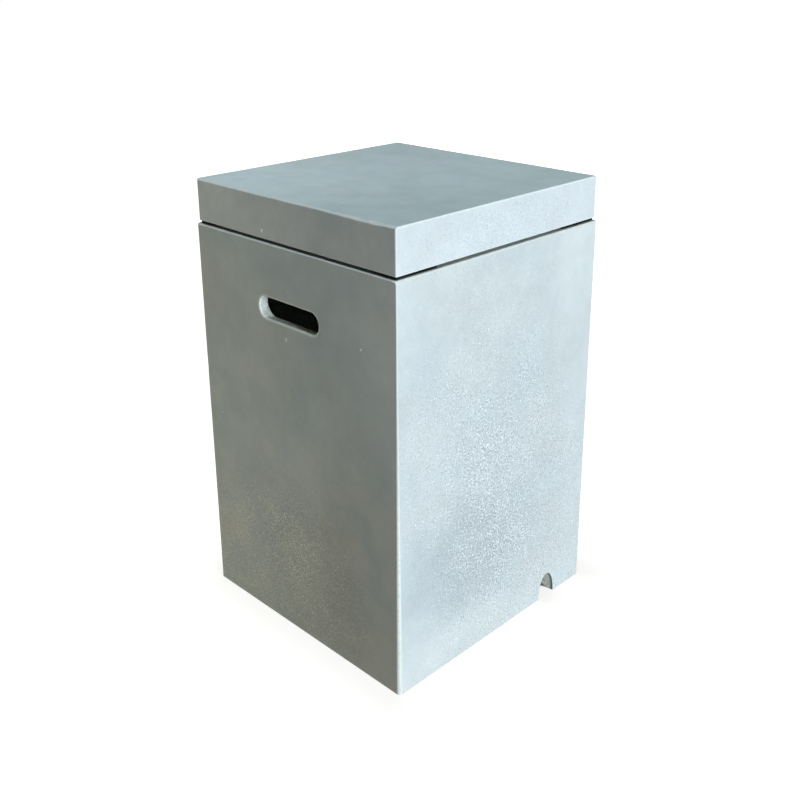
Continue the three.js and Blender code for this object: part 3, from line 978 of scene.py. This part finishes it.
def noise(tree, place, scale, detail, roughness=0.5, distortion=0.0):
    """A noise texture's value."""
    return node(tree, "ShaderNodeTexNoise", {"Vector": place, "Scale": scale, "Detail": detail,
                                             "Roughness": roughness, "Distortion": distortion}).outputs[0]


def new_group(name, inputs, outputs):
    """An empty node group with named float outputs and named inputs, given as name: (kind, value)."""
    group = bpy.data.node_groups.new(name, "ShaderNodeTree")
    for label, (kind, value) in inputs.items():
        socket = group.interface.new_socket(label, in_out="INPUT", socket_type="NodeSocket" + kind)
        if value is not None:
            socket.default_value = value
    for label in outputs:
        group.interface.new_socket(label, in_out="OUTPUT", socket_type="NodeSocketFloat")
    return group, group.nodes.new("NodeGroupInput").outputs, group.nodes.new("NodeGroupOutput").inputs


def use_group(tree, group, values):
    """Places a node group and returns its outputs."""
    return node(tree, "ShaderNodeGroup", values, node_tree=group).outputs


def new_material(name):
    """A material with nodes: the material, its tree, its shader's sockets and the Object coordinates."""
    material = bpy.data.materials.new(name)
    material.use_nodes = True
    tree = material.node_tree
    place = node(tree, "ShaderNodeTexCoord").outputs["Object"]
    return material, tree, tree.nodes["Principled BSDF"].inputs, place


def finish_shader(tree, sockets, colour, rough, specular, height, relief):
    """Joins colour and roughness to the shader, and the height to it as bump with that relief."""
    bump = node(tree, "ShaderNodeBump", {"Strength": 1.0, "Distance": relief, "Height": height})
    for label, value in (("Base Color", colour), ("Roughness", rough), ("Normal", bump.outputs[0])):
        tree.links.new(value, sockets[label])
    sockets["Specular IOR Level"].default_value = specular


# %% Sandy grain
SPECK_LEVEL, SPECK_LEVEL_BY_SAND, SPECK_EDGE = 0.745, -0.19, 0.04
BAND_SCALE, FINE_SCALE = 0.6, 1.7
THREAD_HALF, THREAD_SPECKS, THREAD_SHARE = 0.04, (0.44, 0.56), 0.7
TOOTH_RANGE, GAP_SPECKS, GAP_BANDS = (0.3, 0.7), (0.47, 0.42), (0.48, 0.56)
TOOTH_HEIGHT, SPECK_HEIGHT = 0.35, 0.65


def sandy_grain_group():
    """Pale specks where a fine noise passes a threshold that falls as the sand comes through, short
    pale threads where another noise crosses its middle, dark gaps where both noises are low or high,
    the tooth of the paste between them, and a height that sums them."""
    group, given, result = new_group(
        "sandy grain", {"Vector": ("Vector", None), "Sand": ("Float", 0.5), "Per metre": ("Float", 300.0)},
        ("Specks", "Tooth", "Gaps", "Height"))
    place, per_metre = given["Vector"], given["Per metre"]
    specks = noise(group, place, per_metre, detail=2.0, roughness=0.6, distortion=0.4)
    bands = noise(group, place, times(group, per_metre, BAND_SCALE), detail=1.0, distortion=0.6)
    fine = noise(group, place, times(group, per_metre, FINE_SCALE), detail=3.0, roughness=0.62)
    threshold = scaled(group, given["Sand"], SPECK_LEVEL_BY_SAND, SPECK_LEVEL)
    shown = remapped(group, math_node(group, "SUBTRACT", specks, threshold), 0.0, SPECK_EDGE)
    off_middle = math_node(group, "ABSOLUTE", math_node(group, "SUBTRACT", bands, 0.5))
    near_middle = remapped(group, off_middle, THREAD_HALF, 0.0)
    threads = times(group, near_middle, remapped(group, specks, *THREAD_SPECKS))
    shown = math_node(group, "MAXIMUM", shown, times(group, threads, THREAD_SHARE))
    tooth = remapped(group, fine, *TOOTH_RANGE)
    gaps = times(group, remapped(group, specks, *GAP_SPECKS), remapped(group, bands, *GAP_BANDS))
    height = scaled(group, tooth, TOOTH_HEIGHT, times(group, shown, SPECK_HEIGHT))
    for label, value in (("Specks", shown), ("Tooth", tooth), ("Gaps", gaps), ("Height", height)):
        group.links.new(value, result[label])
    return group


# %% Clouds
CLOUDS = {"Broad": (6.5, 1.5, 3.1), "Middle": (17.0, 2.0, 5.3), "Small": (60.0, 3.0, 7.7)}
CLOUD_RANGE = (0.28, 0.72)


def clouds_group():
    """Three sizes of soft patches, each from 0 to 1. Each has its scale, its detail and its shift."""
    group, given, result = new_group("drying clouds", {"Vector": ("Vector", None)}, CLOUDS)
    for label, (scale, detail, shift) in CLOUDS.items():
        moved = node(group, "ShaderNodeVectorMath", {0: given["Vector"], 1: (shift,) * 3}, operation="ADD")
        value = noise(group, moved.outputs[0], scale, detail)
        group.links.new(remapped(group, value, *CLOUD_RANGE), result[label])
    return group


# %% Pinholes
CELLS_PER_METRE, PIT_REACH, PIT_REACH_SPREAD, PIT_EDGE = 75.0, 0.025, 0.025, 0.02


def pinholes_group():
    """Small pits in a few of the cells, as a mask that is 1 in a pit."""
    group, given, result = new_group(
        "pinholes", {"Vector": ("Vector", None), "Share": ("Float", 0.1)}, ("Pits",))
    cells = node(group, "ShaderNodeTexVoronoi",
                 {"Vector": given["Vector"], "Scale": CELLS_PER_METRE, "Randomness": 1.0})
    picked = node(group, "ShaderNodeSeparateColor", {0: cells.outputs["Color"]})
    chosen = math_node(group, "LESS_THAN", picked.outputs[0], given["Share"])
    reach = scaled(group, picked.outputs[1], PIT_REACH_SPREAD, PIT_REACH)
    pit = remapped(group, math_node(group, "SUBTRACT", reach, cells.outputs["Distance"]), 0.0, PIT_EDGE)
    group.links.new(times(group, pit, chosen), result["Pits"])
    return group


grain_group, cloud_group, pit_group = sandy_grain_group(), clouds_group(), pinholes_group()
print("node groups:", sorted(group.name for group in bpy.data.node_groups))

# %% [markdown]
# ## Concrete and rubber
# The paste is a pale grey that leans to a warm grey in some clouds and to a cool green in others.
# What shows where is worked out for each point of the mesh, because it follows the casting: sand
# comes through in a broad patch on each side, arrises are smooth and pale, partly rubbed wear and partly
# a painted highlight, and the lid's trowelled top is darker and cooler than its cast sides, with painted
# shade towards the right.

# %% Concrete material
DARK_SHARE = 0.42
TROWELLED_TINT = (0.815, 0.895, 0.885, 1)
PALE_SAND, WARM_SAND = (0.92, 0.93, 0.91, 1), (0.92, 0.90, 0.74, 1)
RAW_LOW, RAW_HIGH, RAW_PER_METRE = (0.50, 0.53, 0.47, 1), (0.90, 0.91, 0.79, 1), 210.0
# Next line: a pale colour for the arrises, partly rubbed wear and partly a painted highlight, and a
# near-black one that paints shade under the lid, deep in the notch and at the slot ends, and the notch's dark
# streak.
PALE_WEAR_AND_HIGHLIGHT, PAINTED_SHADE_AND_STREAK = (0.86, 0.88, 0.79, 1), (0.050, 0.055, 0.050, 1)
PALE_WEAR_AND_HIGHLIGHT_SHARE, PIT_SHARE, PAINTED_SHADE_AND_STREAK_SHARE, PITTED_CELLS = 0.6, 0.5, 0.92, 0.12
RAW_RANGE = (0.35, 0.56)
SAND_AMOUNT, SAND_BY_CLOUDS = 0.82, 0.35
WARM_BROADLY, WARM_AMOUNT, WARM_BY_CLOUDS = 0.35, 0.50, 0.6
SHADE_LEVEL, SHADE_BY_MIDDLE, SHADE_BY_SMALL = 0.94, 0.08, 0.04
GAP_SHARE, SPECK_GAIN, SPECK_MOST = 0.70, 2.4, 0.9
BARE_HEIGHT, HEIGHT_BY_SAND, PINHOLE_DEPTH = 0.15, 0.85, 1.5
ROUGH_LEVEL, ROUGH_BY_TOOTH = 0.80, 0.12
MATT = 0.15
MARKS = ("sandiness", "arris", "trowelled_and_painted_shade", "painted_shade_and_streak", "tone_and_painted_light", "warmth_and_painted_warm_light", "cut")


def concrete(name, paste, warm_paste, specks_per_metre, relief):
    """A concrete whose specks, clouds, pinholes, arrises, trowelled skin, painted shade and dark streak feed
    colour, roughness and bump."""
    material, tree, sockets, place = new_material(name)
    sandy, arris, trowelled_and_painted_shade, painted_shade_and_streak, tone_and_painted_light, warmth_and_painted_warm_light, cut = (
        node(tree, "ShaderNodeAttribute", attribute_name=mark).outputs["Fac"] for mark in MARKS)
    dark = [c * DARK_SHARE for c in paste[:3]] + [1]
    clouds = use_group(tree, cloud_group, {"Vector": place})
    here = times(tree, sandy, scaled(tree, clouds["Small"], SAND_BY_CLOUDS, SAND_AMOUNT))
    grain = use_group(tree, grain_group, {"Vector": place, "Sand": here, "Per metre": specks_per_metre})
    pits = use_group(tree, pit_group, {"Vector": place, "Share": PITTED_CELLS})["Pits"]
    # Warm clouds, partly the paste's own and partly painted warm light.
    blotch = times(tree, warmth_and_painted_warm_light, scaled(tree, clouds["Middle"], WARM_BY_CLOUDS, WARM_AMOUNT))
    warm = math_node(tree, "MAXIMUM", scaled(tree, clouds["Broad"], WARM_BROADLY, blotch), cut)
    # The clouds' own tone plus the tone mark, which is partly painted light and shade.
    shade = scaled(tree, clouds["Middle"], SHADE_BY_MIDDLE, SHADE_LEVEL)
    shade = scaled(tree, clouds["Small"], SHADE_BY_SMALL, shade)
    shade = math_node(tree, "ADD", shade, tone_and_painted_light)
    colour = mixed(tree, 1.0, mixed(tree, warm, paste, warm_paste), shade, "MULTIPLY")
    raw = remapped(tree, noise(tree, place, RAW_PER_METRE, detail=3.0, roughness=0.6), *RAW_RANGE)
    colour = mixed(tree, cut, colour, mixed(tree, raw, RAW_LOW, RAW_HIGH))
    # The trowelled top's darker, cooler tint; its growth towards the right is painted shade.
    colour = mixed(tree, trowelled_and_painted_shade, colour, TROWELLED_TINT, "MULTIPLY")
    hidden = times(tree, times(tree, grain["Gaps"], here), GAP_SHARE)
    shown = times(tree, grain["Specks"], times(tree, here, SPECK_GAIN))
    shown = math_node(tree, "MINIMUM", shown, SPECK_MOST)
    sand = mixed(tree, warmth_and_painted_warm_light, PALE_SAND, WARM_SAND)
    # Layers over the paste: the grain's dark gaps, pale sand, the arrises' pale colour (partly rubbed wear,
    # partly painted highlight), pinholes painted dark as the shade inside them, and near-black painted shade
    # with the notch's dark streak.
    for share, layer in ((hidden, dark), (shown, sand), (times(tree, arris, PALE_WEAR_AND_HIGHLIGHT_SHARE), PALE_WEAR_AND_HIGHLIGHT),
                         (times(tree, pits, PIT_SHARE), dark), (times(tree, painted_shade_and_streak, PAINTED_SHADE_AND_STREAK_SHARE), PAINTED_SHADE_AND_STREAK)):
        colour = mixed(tree, share, colour, layer)
    height = times(tree, grain["Height"], scaled(tree, here, HEIGHT_BY_SAND, BARE_HEIGHT))
    height = math_node(tree, "SUBTRACT", height, times(tree, pits, PINHOLE_DEPTH))
    rough = scaled(tree, grain["Tooth"], ROUGH_BY_TOOTH, ROUGH_LEVEL)
    finish_shader(tree, sockets, colour, rough, MATT, height, relief)
    return material


# %% Rubber material
RUBBER_DARK, RUBBER_DUSTY = (0.007, 0.007, 0.008, 1), (0.035, 0.036, 0.035, 1)
RUBBER_GRAIN, RUBBER_RELIEF, RUBBER_SHINE = 700.0, 0.00006, 0.05
DUST_SHARE, RUBBER_ROUGH, ROUGH_BY_DUST = 0.3, 0.65, 0.25


def rubber():
    """Matt black rubber with a faint bloom of dust and a fine moulded tooth."""
    material, tree, sockets, place = new_material("pad rubber")
    grain = use_group(tree, grain_group, {"Vector": place, "Sand": 0.5, "Per metre": RUBBER_GRAIN})
    clouds = use_group(tree, cloud_group, {"Vector": place})
    dust = times(tree, clouds["Small"], grain["Tooth"])
    colour = mixed(tree, times(tree, dust, DUST_SHARE), RUBBER_DARK, RUBBER_DUSTY)
    rough = scaled(tree, dust, ROUGH_BY_DUST, RUBBER_ROUGH)
    finish_shader(tree, sockets, colour, rough, RUBBER_SHINE, grain["Height"], RUBBER_RELIEF)
    return material


# %% [markdown]
# ## Where sand, wear and painted light and shade show
# Each mark is one value for each point of a mesh. Broad ones are sums of oval patches placed on the
# sides as the photograph shows them, and made up for the two sides that it doesn't; some of these are
# painted light and shade. The raw faces in the cuts, the trowelled top with its painted shade, and the
# near-black painted shade and the notch's dark streak follow from where a point lies and how it faces.

# %% Marks
OVAL_CORE = 0.30
SAND_CELL, SAND_LEAST, SAND_VARIES = 0.045, 0.6, 0.8
# The trowelled mark grows towards the right as painted shade.
TROWELLED_FACING, TROWELLED_IN_MIDDLE, PAINTED_SHADE_TO_RIGHT = (0.5, 0.95), 0.70, 0.20
FRONT, RIGHT, BACK, LEFT, TOP = range(5)


def spread_over(points, normals, patches):
    """The sum of oval patches, listed by side as share, along, height, and the reach either way. On
    the top the height is y. A patch has its share in its core, and fades out to nothing at its reach."""
    total = np.zeros(len(points))
    for side, ovals in patches.items():
        if side == TOP:
            along, height, facing = *points[:, :2].T, normals[:, 2]
        else:
            along, height, facing = points[:, :2] @ AHEAD[side], points[:, 2], normals[:, :2] @ OUTWARD[side]
        for share, middle_along, middle_height, reach_along, reach_up in ovals:
            away = np.hypot((along - middle_along) / reach_along, (height - middle_height) / reach_up)
            total += share * np.maximum(facing, 0) ** 2 * ramp(away, 1.0, OVAL_CORE)
    return total


def mark_patches(piece, name, patches):
    """Writes a plain sum of patches."""
    write_mark(piece, name, spread_over(*points_and_normals(piece), patches))


def mark_sandiness(piece, patches):
    """How much sand shows: the patches, broken up by soft noise."""
    points, normals = points_and_normals(piece)
    broken = SAND_LEAST + SAND_VARIES * soft_noise(points, SAND_CELL, 5)
    write_mark(piece, "sandiness", np.clip(spread_over(points, normals, patches) * broken, 0, 1))


def mark_trowelled_and_painted_shade(piece):
    """The lid's top is trowelled, and the mark grows towards the right as painted shade."""
    points, normals = points_and_normals(piece)
    upwards = ramp(normals[:, 2], *TROWELLED_FACING) * (points[:, 2] > LID_TOP - 2 * LID_EDGE)
    level = TROWELLED_IN_MIDDLE + PAINTED_SHADE_TO_RIGHT * points[:, 0] / LID_HALF
    write_mark(piece, "trowelled_and_painted_shade", np.clip(upwards * level, 0, 1))


# %% Marks in the shell's cuts and on its rim
# Less of the raw colour at the ends of the slots is painted shade.
RAW_IN_SLOT, RAW_LESS_AT_END_AS_SHADE, RAW_IN_NOTCH = 1.0, 0.5, 0.75
END_FACES, OFF_FACE = (0.2, 0.8), 0.9
STREAK_IN, STREAK_OUT, STREAK_FROM_MIDDLE = (0.0002, 0.0010), (0.0040, 0.0024), 0.006
# Painted shade deep in the notch, at its foot next to the dark inside of the shell.
NOTCH_FOOT_SHADE_IN, NOTCH_FOOT_SHADE_OUT, NOTCH_FOOT_SHADE_UP = (0.0120, 0.0165), (0.0230, 0.0200), (0.0060, 0.0030)
# Painted shade on the rim along the seam under the lid.
SEAM_STARTS, SEAM_NEARER_IN_FRONT, SEAM_UNEVEN, SEAM_CELL = 0.0058, 0.0034, 0.0008, 0.02
SEAM_FADES_IN, SEAM_ENDS, SEAM_FAINT, SEAM_DEPTH = 0.0010, (0.013, 0.009), 0.25, 0.0010
SEAM_TURNS, SEAM_FACING = (-0.003, 0.003), (0.6, 0.9)
# Painted shade at the ends of the slots.
SLOT_END_SHADE, SLOT_END_SHADE_IN = 0.25, (0.0015, 0.0025)


def mark_cut(piece):
    """The faces inside the wall, where the slots and the notch go through it. Their mould inserts
    leave them raw, and the slots' are paler than the notch's. The slots' end faces get less of the
    pale raw colour, as painted shade."""
    points, normals = points_and_normals(piece)
    depth = depth_in_wall(points)
    inside = (depth > EDGE / 2) & (depth < wall(points[:, 2]) - EDGE / 2) & (points[:, 2] < RIM - EDGE)
    in_slot = RAW_IN_SLOT - RAW_LESS_AT_END_AS_SHADE * ramp(np.abs(normals[:, 0]), *END_FACES)
    write_mark(piece, "cut", inside * np.where(points[:, 2] > RIM / 2, in_slot, RAW_IN_NOTCH))


def mark_painted_shade_and_streak(piece):
    """A dark streak just inside the notch's far side, and painted shade: deep in the notch at its foot, a
    little at the ends of the slots, and along the seam under the lid, a strip of the rim that starts close
    to the edge in front, and is faint and deeper elsewhere."""
    points, normals = points_and_normals(piece)
    x, y, z = points.T
    inside = HALF - x
    in_notch = (y > NOTCH_MIDDLE) & (y < NOTCH_MIDDLE + NOTCH_HALF_WIDTH + NOTCH_LIP)
    in_notch &= (z < NOTCH_TOP + NOTCH_LIP) & (normals[:, 0] < OFF_FACE) & (x > 0)
    streak = ramp(inside, *STREAK_OUT) * ramp(inside, *STREAK_IN)
    streak *= in_notch * ramp(y, NOTCH_MIDDLE, NOTCH_MIDDLE + STREAK_FROM_MIDDLE)
    # Painted shade deep in the notch at its foot.
    notch_foot_shade = in_notch * ramp(inside, *NOTCH_FOOT_SHADE_IN) * ramp(inside, *NOTCH_FOOT_SHADE_OUT) * ramp(z, *NOTCH_FOOT_SHADE_UP)
    # Painted shade on the rim under the lid.
    depth = depth_in_wall(points)
    in_front = ramp(-y - np.abs(x), *SEAM_TURNS)
    starts = SEAM_STARTS - SEAM_NEARER_IN_FRONT * in_front + SEAM_UNEVEN * soft_noise(points, SEAM_CELL, 61)
    seam_shade = ramp(depth, starts, starts + SEAM_FADES_IN) * ramp(depth, *SEAM_ENDS)
    seam_shade *= SEAM_FAINT + (1 - SEAM_FAINT) * in_front
    seam_shade *= (z > RIM - SEAM_DEPTH) * ramp(normals[:, 2], *SEAM_FACING)
    in_slot = (z > RIM / 2) & (z < RIM - WORN_RIM) & (depth < wall(z) - EDGE / 2)
    # Painted shade a little inside the ends of the slots.
    slot_end_shade = SLOT_END_SHADE * in_slot * ramp(depth, *SLOT_END_SHADE_IN) * ramp(np.abs(normals[:, 0]), *END_FACES)
    write_mark(piece, "painted_shade_and_streak", np.maximum.reduce([streak, notch_foot_shade, slot_end_shade, seam_shade]))


# %% Marks on the shell
mark_sandiness(shell, {
    FRONT: [(0.54, -0.060, 0.080, 0.28, 0.20), (0.12, 0.000, 0.240, 0.20, 0.20)],
    RIGHT: [(0.48, -0.030, 0.270, 0.24, 0.30), (0.46, 0.080, 0.120, 0.26, 0.32),
            (0.18, -0.060, 0.450, 0.30, 0.30), (0.20, 0.000, 0.020, 0.35, 0.12)],
    BACK: [(0.80, 0.030, 0.220, 0.26, 0.36)],
    LEFT: [(0.75, -0.030, 0.180, 0.25, 0.30)]})
mark_cut(shell)
# Painted shade under the lid, in the notch and at the slot ends, and a dark streak in the notch.
mark_painted_shade_and_streak(shell)
# The tone is partly the concrete's own and partly painted light and shade: the front is painted darker all
# over and at its lower right, and the right side lighter at its foot, where light comes up from the floor.
mark_patches(shell, "tone_and_painted_light", {
    FRONT: [(-0.09, 0.0, 0.300, 1.00, 1.50), (-0.09, 0.040, 0.450, 0.13, 0.22),
            (-0.05, 0.160, 0.560, 0.08, 0.07), (-0.16, 0.160, 0.160, 0.17, 0.30),
            (-0.09, 0.030, 0.100, 0.14, 0.20), (0.03, -0.190, 0.100, 0.10, 0.40)],
    RIGHT: [(-0.15, -0.060, 0.150, 0.18, 0.12), (-0.04, 0.020, 0.250, 0.24, 0.26),
            (0.08, -0.040, 0.0, 0.40, 0.10), (0.05, 0.200, 0.250, 0.12, 0.60),
            (0.04, -0.200, 0.560, 0.14, 0.08), (0.08, 0.190, 0.570, 0.14, 0.14),
            (0.06, -0.180, 0.020, 0.12, 0.12)],
    BACK: [(-0.07, -0.060, 0.120, 0.20, 0.16), (0.04, 0.110, 0.400, 0.14, 0.20)],
    LEFT: [(-0.06, 0.070, 0.240, 0.18, 0.15), (0.04, -0.100, 0.060, 0.20, 0.12)]})
# Warmth is partly the paste's own and partly painted warm light: on the front all over and low down, where
# warm light comes from the floor and the near left. On the back and the left it is the paste's own.
mark_patches(shell, "warmth_and_painted_warm_light", {
    FRONT: [(0.3, 0.0, 0.300, 1.00, 1.50), (0.6, -0.060, 0.080, 0.26, 0.22), (0.5, 0.140, 0.120, 0.20, 0.26)],
    BACK: [(0.5, 0.060, 0.100, 0.24, 0.20)],
    LEFT: [(0.5, 0.0, 0.060, 0.24, 0.20)]})

# %% Marks on the lid
lid_middle = (LID_TOP + LID_UNDER) / 2
LID_SAND = {FRONT: 0.05, RIGHT: 0.36, BACK: 0.2, LEFT: 0.2}
mark_sandiness(lid, {side: [(share, 0.0, lid_middle, 0.3, 0.05)] for side, share in LID_SAND.items()})
# Painted warm light on the lid's front.
mark_patches(lid, "warmth_and_painted_warm_light", {FRONT: [(0.8, 0.0, lid_middle, 1.0, 1.0)]})
# On the lid the tone is painted light and shade: the front darker, most at its right, and the top lighter at
# its front left corner and darker at its front right and back left.
mark_patches(lid, "tone_and_painted_light", {
    FRONT: [(-0.05, 0.0, lid_middle, 1.0, 1.0), (-0.17, 0.220, lid_middle, 0.37, 0.2),
            (0.04, -0.200, lid_middle, 0.14, 0.2)],
    TOP: [(0.12, -0.200, -0.200, 0.28, 0.28), (-0.08, 0.200, -0.160, 0.24, 0.26),
          (-0.06, -0.200, 0.170, 0.25, 0.20)]})
# Trowelled top, with painted shade towards the right.
mark_trowelled_and_painted_shade(lid)

# %% Materials on the pieces
shell.data.materials.append(concrete(
    "shell concrete", paste=(0.560, 0.615, 0.605, 1), warm_paste=(0.630, 0.622, 0.535, 1),
    specks_per_metre=400.0, relief=0.00034))
lid.data.materials.append(concrete(
    "lid concrete", paste=(0.635, 0.680, 0.665, 1), warm_paste=(0.660, 0.680, 0.645, 1),
    specks_per_metre=420.0, relief=0.00025))
pad_rubber = rubber()
for pad in pads.values():
    pad.data.materials.append(pad_rubber)
print("materials:", sorted(material.name for material in bpy.data.materials))

# %% Riding on the bodies
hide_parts("shell")
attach(shell, "shell")
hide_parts("lid")
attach(lid, "lid")
for pad_node, pad in pads.items():
    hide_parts(pad_node)
    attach(pad, "lid")

# %% [markdown]
# ## Studio
# The photograph is a plain cut-out, so the light is read from the object. The left end of the hand
# slot is as bright as the right side, and a shadow crosses its sill, so the key light stands low on
# the right, nearly in line with the front. A sky lamp a little to the near left lights the top, a
# small warm one low at the near left lifts the front, and one behind serves the back. The floor is
# white for the camera only, so it doesn't flood the object with light. It is a little greyer close
# round the shell, and dark inside the shell's footprint, where no light gets to it.

# %% Lights
def lamp(name, azimuth, elevation, distance, size, level, colour, aim=(0, 0, 0.3)):
    """A square area lamp in that direction, in degrees, from the aim, that gives a surface facing it
    there that level of light."""
    round_, up = math.radians(azimuth), math.radians(elevation)
    direction = Vector((math.cos(round_) * math.cos(up), math.sin(round_) * math.cos(up), math.sin(up)))
    light = bpy.data.lights.new(name, "AREA")
    light.shape, light.size, light.color = "SQUARE", size, colour
    light.energy = level * math.pi ** 2 * distance ** 2
    holder = in_scene(name, light)
    holder.visible_camera = False
    place = Matrix.Translation(Vector(aim) + distance * direction)
    holder.matrix_world = place @ direction.to_track_quat("Z", "Y").to_matrix().to_4x4()
    print(name, "lamp at", [round(c, 2) for c in holder.matrix_world.translation])


lamp("key", azimuth=-12, elevation=8.5, distance=6.0, size=1.2, level=1.00, colour=(0.90, 1.0, 1.135))
lamp("sky", azimuth=-135, elevation=84, distance=1.8, size=0.8, level=0.535,
     colour=(0.86, 1.0, 1.10), aim=(0, 0, 0.6))
lamp("near left", azimuth=-143, elevation=4, distance=1.25, size=0.6, level=0.10,
     colour=(1.15, 1.02, 0.5), aim=(0, 0, 0.2))
lamp("back", azimuth=130, elevation=3, distance=4.0, size=2.0, level=0.35, colour=(0.97, 1.0, 1.02))

# %% Surroundings
WORLD_LEVEL, WORLD_SEEN = 0.015, 1.02


def seen_directly(tree):
    """1 for rays from the camera, and for reflections and glass, else 0."""
    path = node(tree, "ShaderNodeLightPath").outputs
    seen = math_node(tree, "MAXIMUM", path["Is Camera Ray"], path["Is Glossy Ray"])
    return math_node(tree, "MAXIMUM", seen, path["Is Transmission Ray"])


world = bpy.data.worlds.new("studio")
bpy.context.scene.world = world
world.use_nodes = True
tree = world.node_tree
background = tree.nodes["Background"].inputs
background["Color"].default_value = (1.0, 1.0, 1.0, 1)
level = scaled(tree, seen_directly(tree), WORLD_SEEN - WORLD_LEVEL, WORLD_LEVEL)
tree.links.new(level, background["Strength"])
print("world: level", WORLD_LEVEL, "for light, and", WORLD_SEEN, "as the camera sees it")

# %% Floor
FLOOR_HALF = 12.0
FLOOR_COLOUR, FLOOR_ROUGHNESS = (0.38, 0.36, 0.30, 1), 0.9
GLOW_REACH, GLOW_LEVELS = (0.20, 0.32), (0.78, 1.0)

floor_mesh = bpy.data.meshes.new("floor")
corners = [(x * FLOOR_HALF, y * FLOOR_HALF, 0) for x, y in ((-1, -1), (1, -1), (1, 1), (-1, 1))]
floor_mesh.from_pydata(corners, [], [(0, 1, 2, 3)])
floor = in_scene("floor", floor_mesh)
floor_paint, tree, sockets, place = new_material("white floor")
sockets["Base Color"].default_value = FLOOR_COLOUR
sockets["Roughness"].default_value = FLOOR_ROUGHNESS
sockets["Emission Color"].default_value = (1, 1, 1, 1)
unsigned = node(tree, "ShaderNodeVectorMath", {0: place}, operation="ABSOLUTE").outputs[0]
sides = node(tree, "ShaderNodeSeparateXYZ", {0: unsigned}).outputs
from_middle = math_node(tree, "MAXIMUM", sides[0], sides[1])
outside = math_node(tree, "GREATER_THAN", from_middle, HALF - WALL_AT_FOOT)
glow = times(tree, remapped(tree, from_middle, *GLOW_REACH, *GLOW_LEVELS), outside)
tree.links.new(times(tree, glow, seen_directly(tree)), sockets["Emission Strength"])
floor_mesh.materials.append(floor_paint)
print("floor glows from", GLOW_LEVELS[0], "beside the shell to", GLOW_LEVELS[1], "further out")

bpy.context.scene.view_settings.view_transform = "Standard"
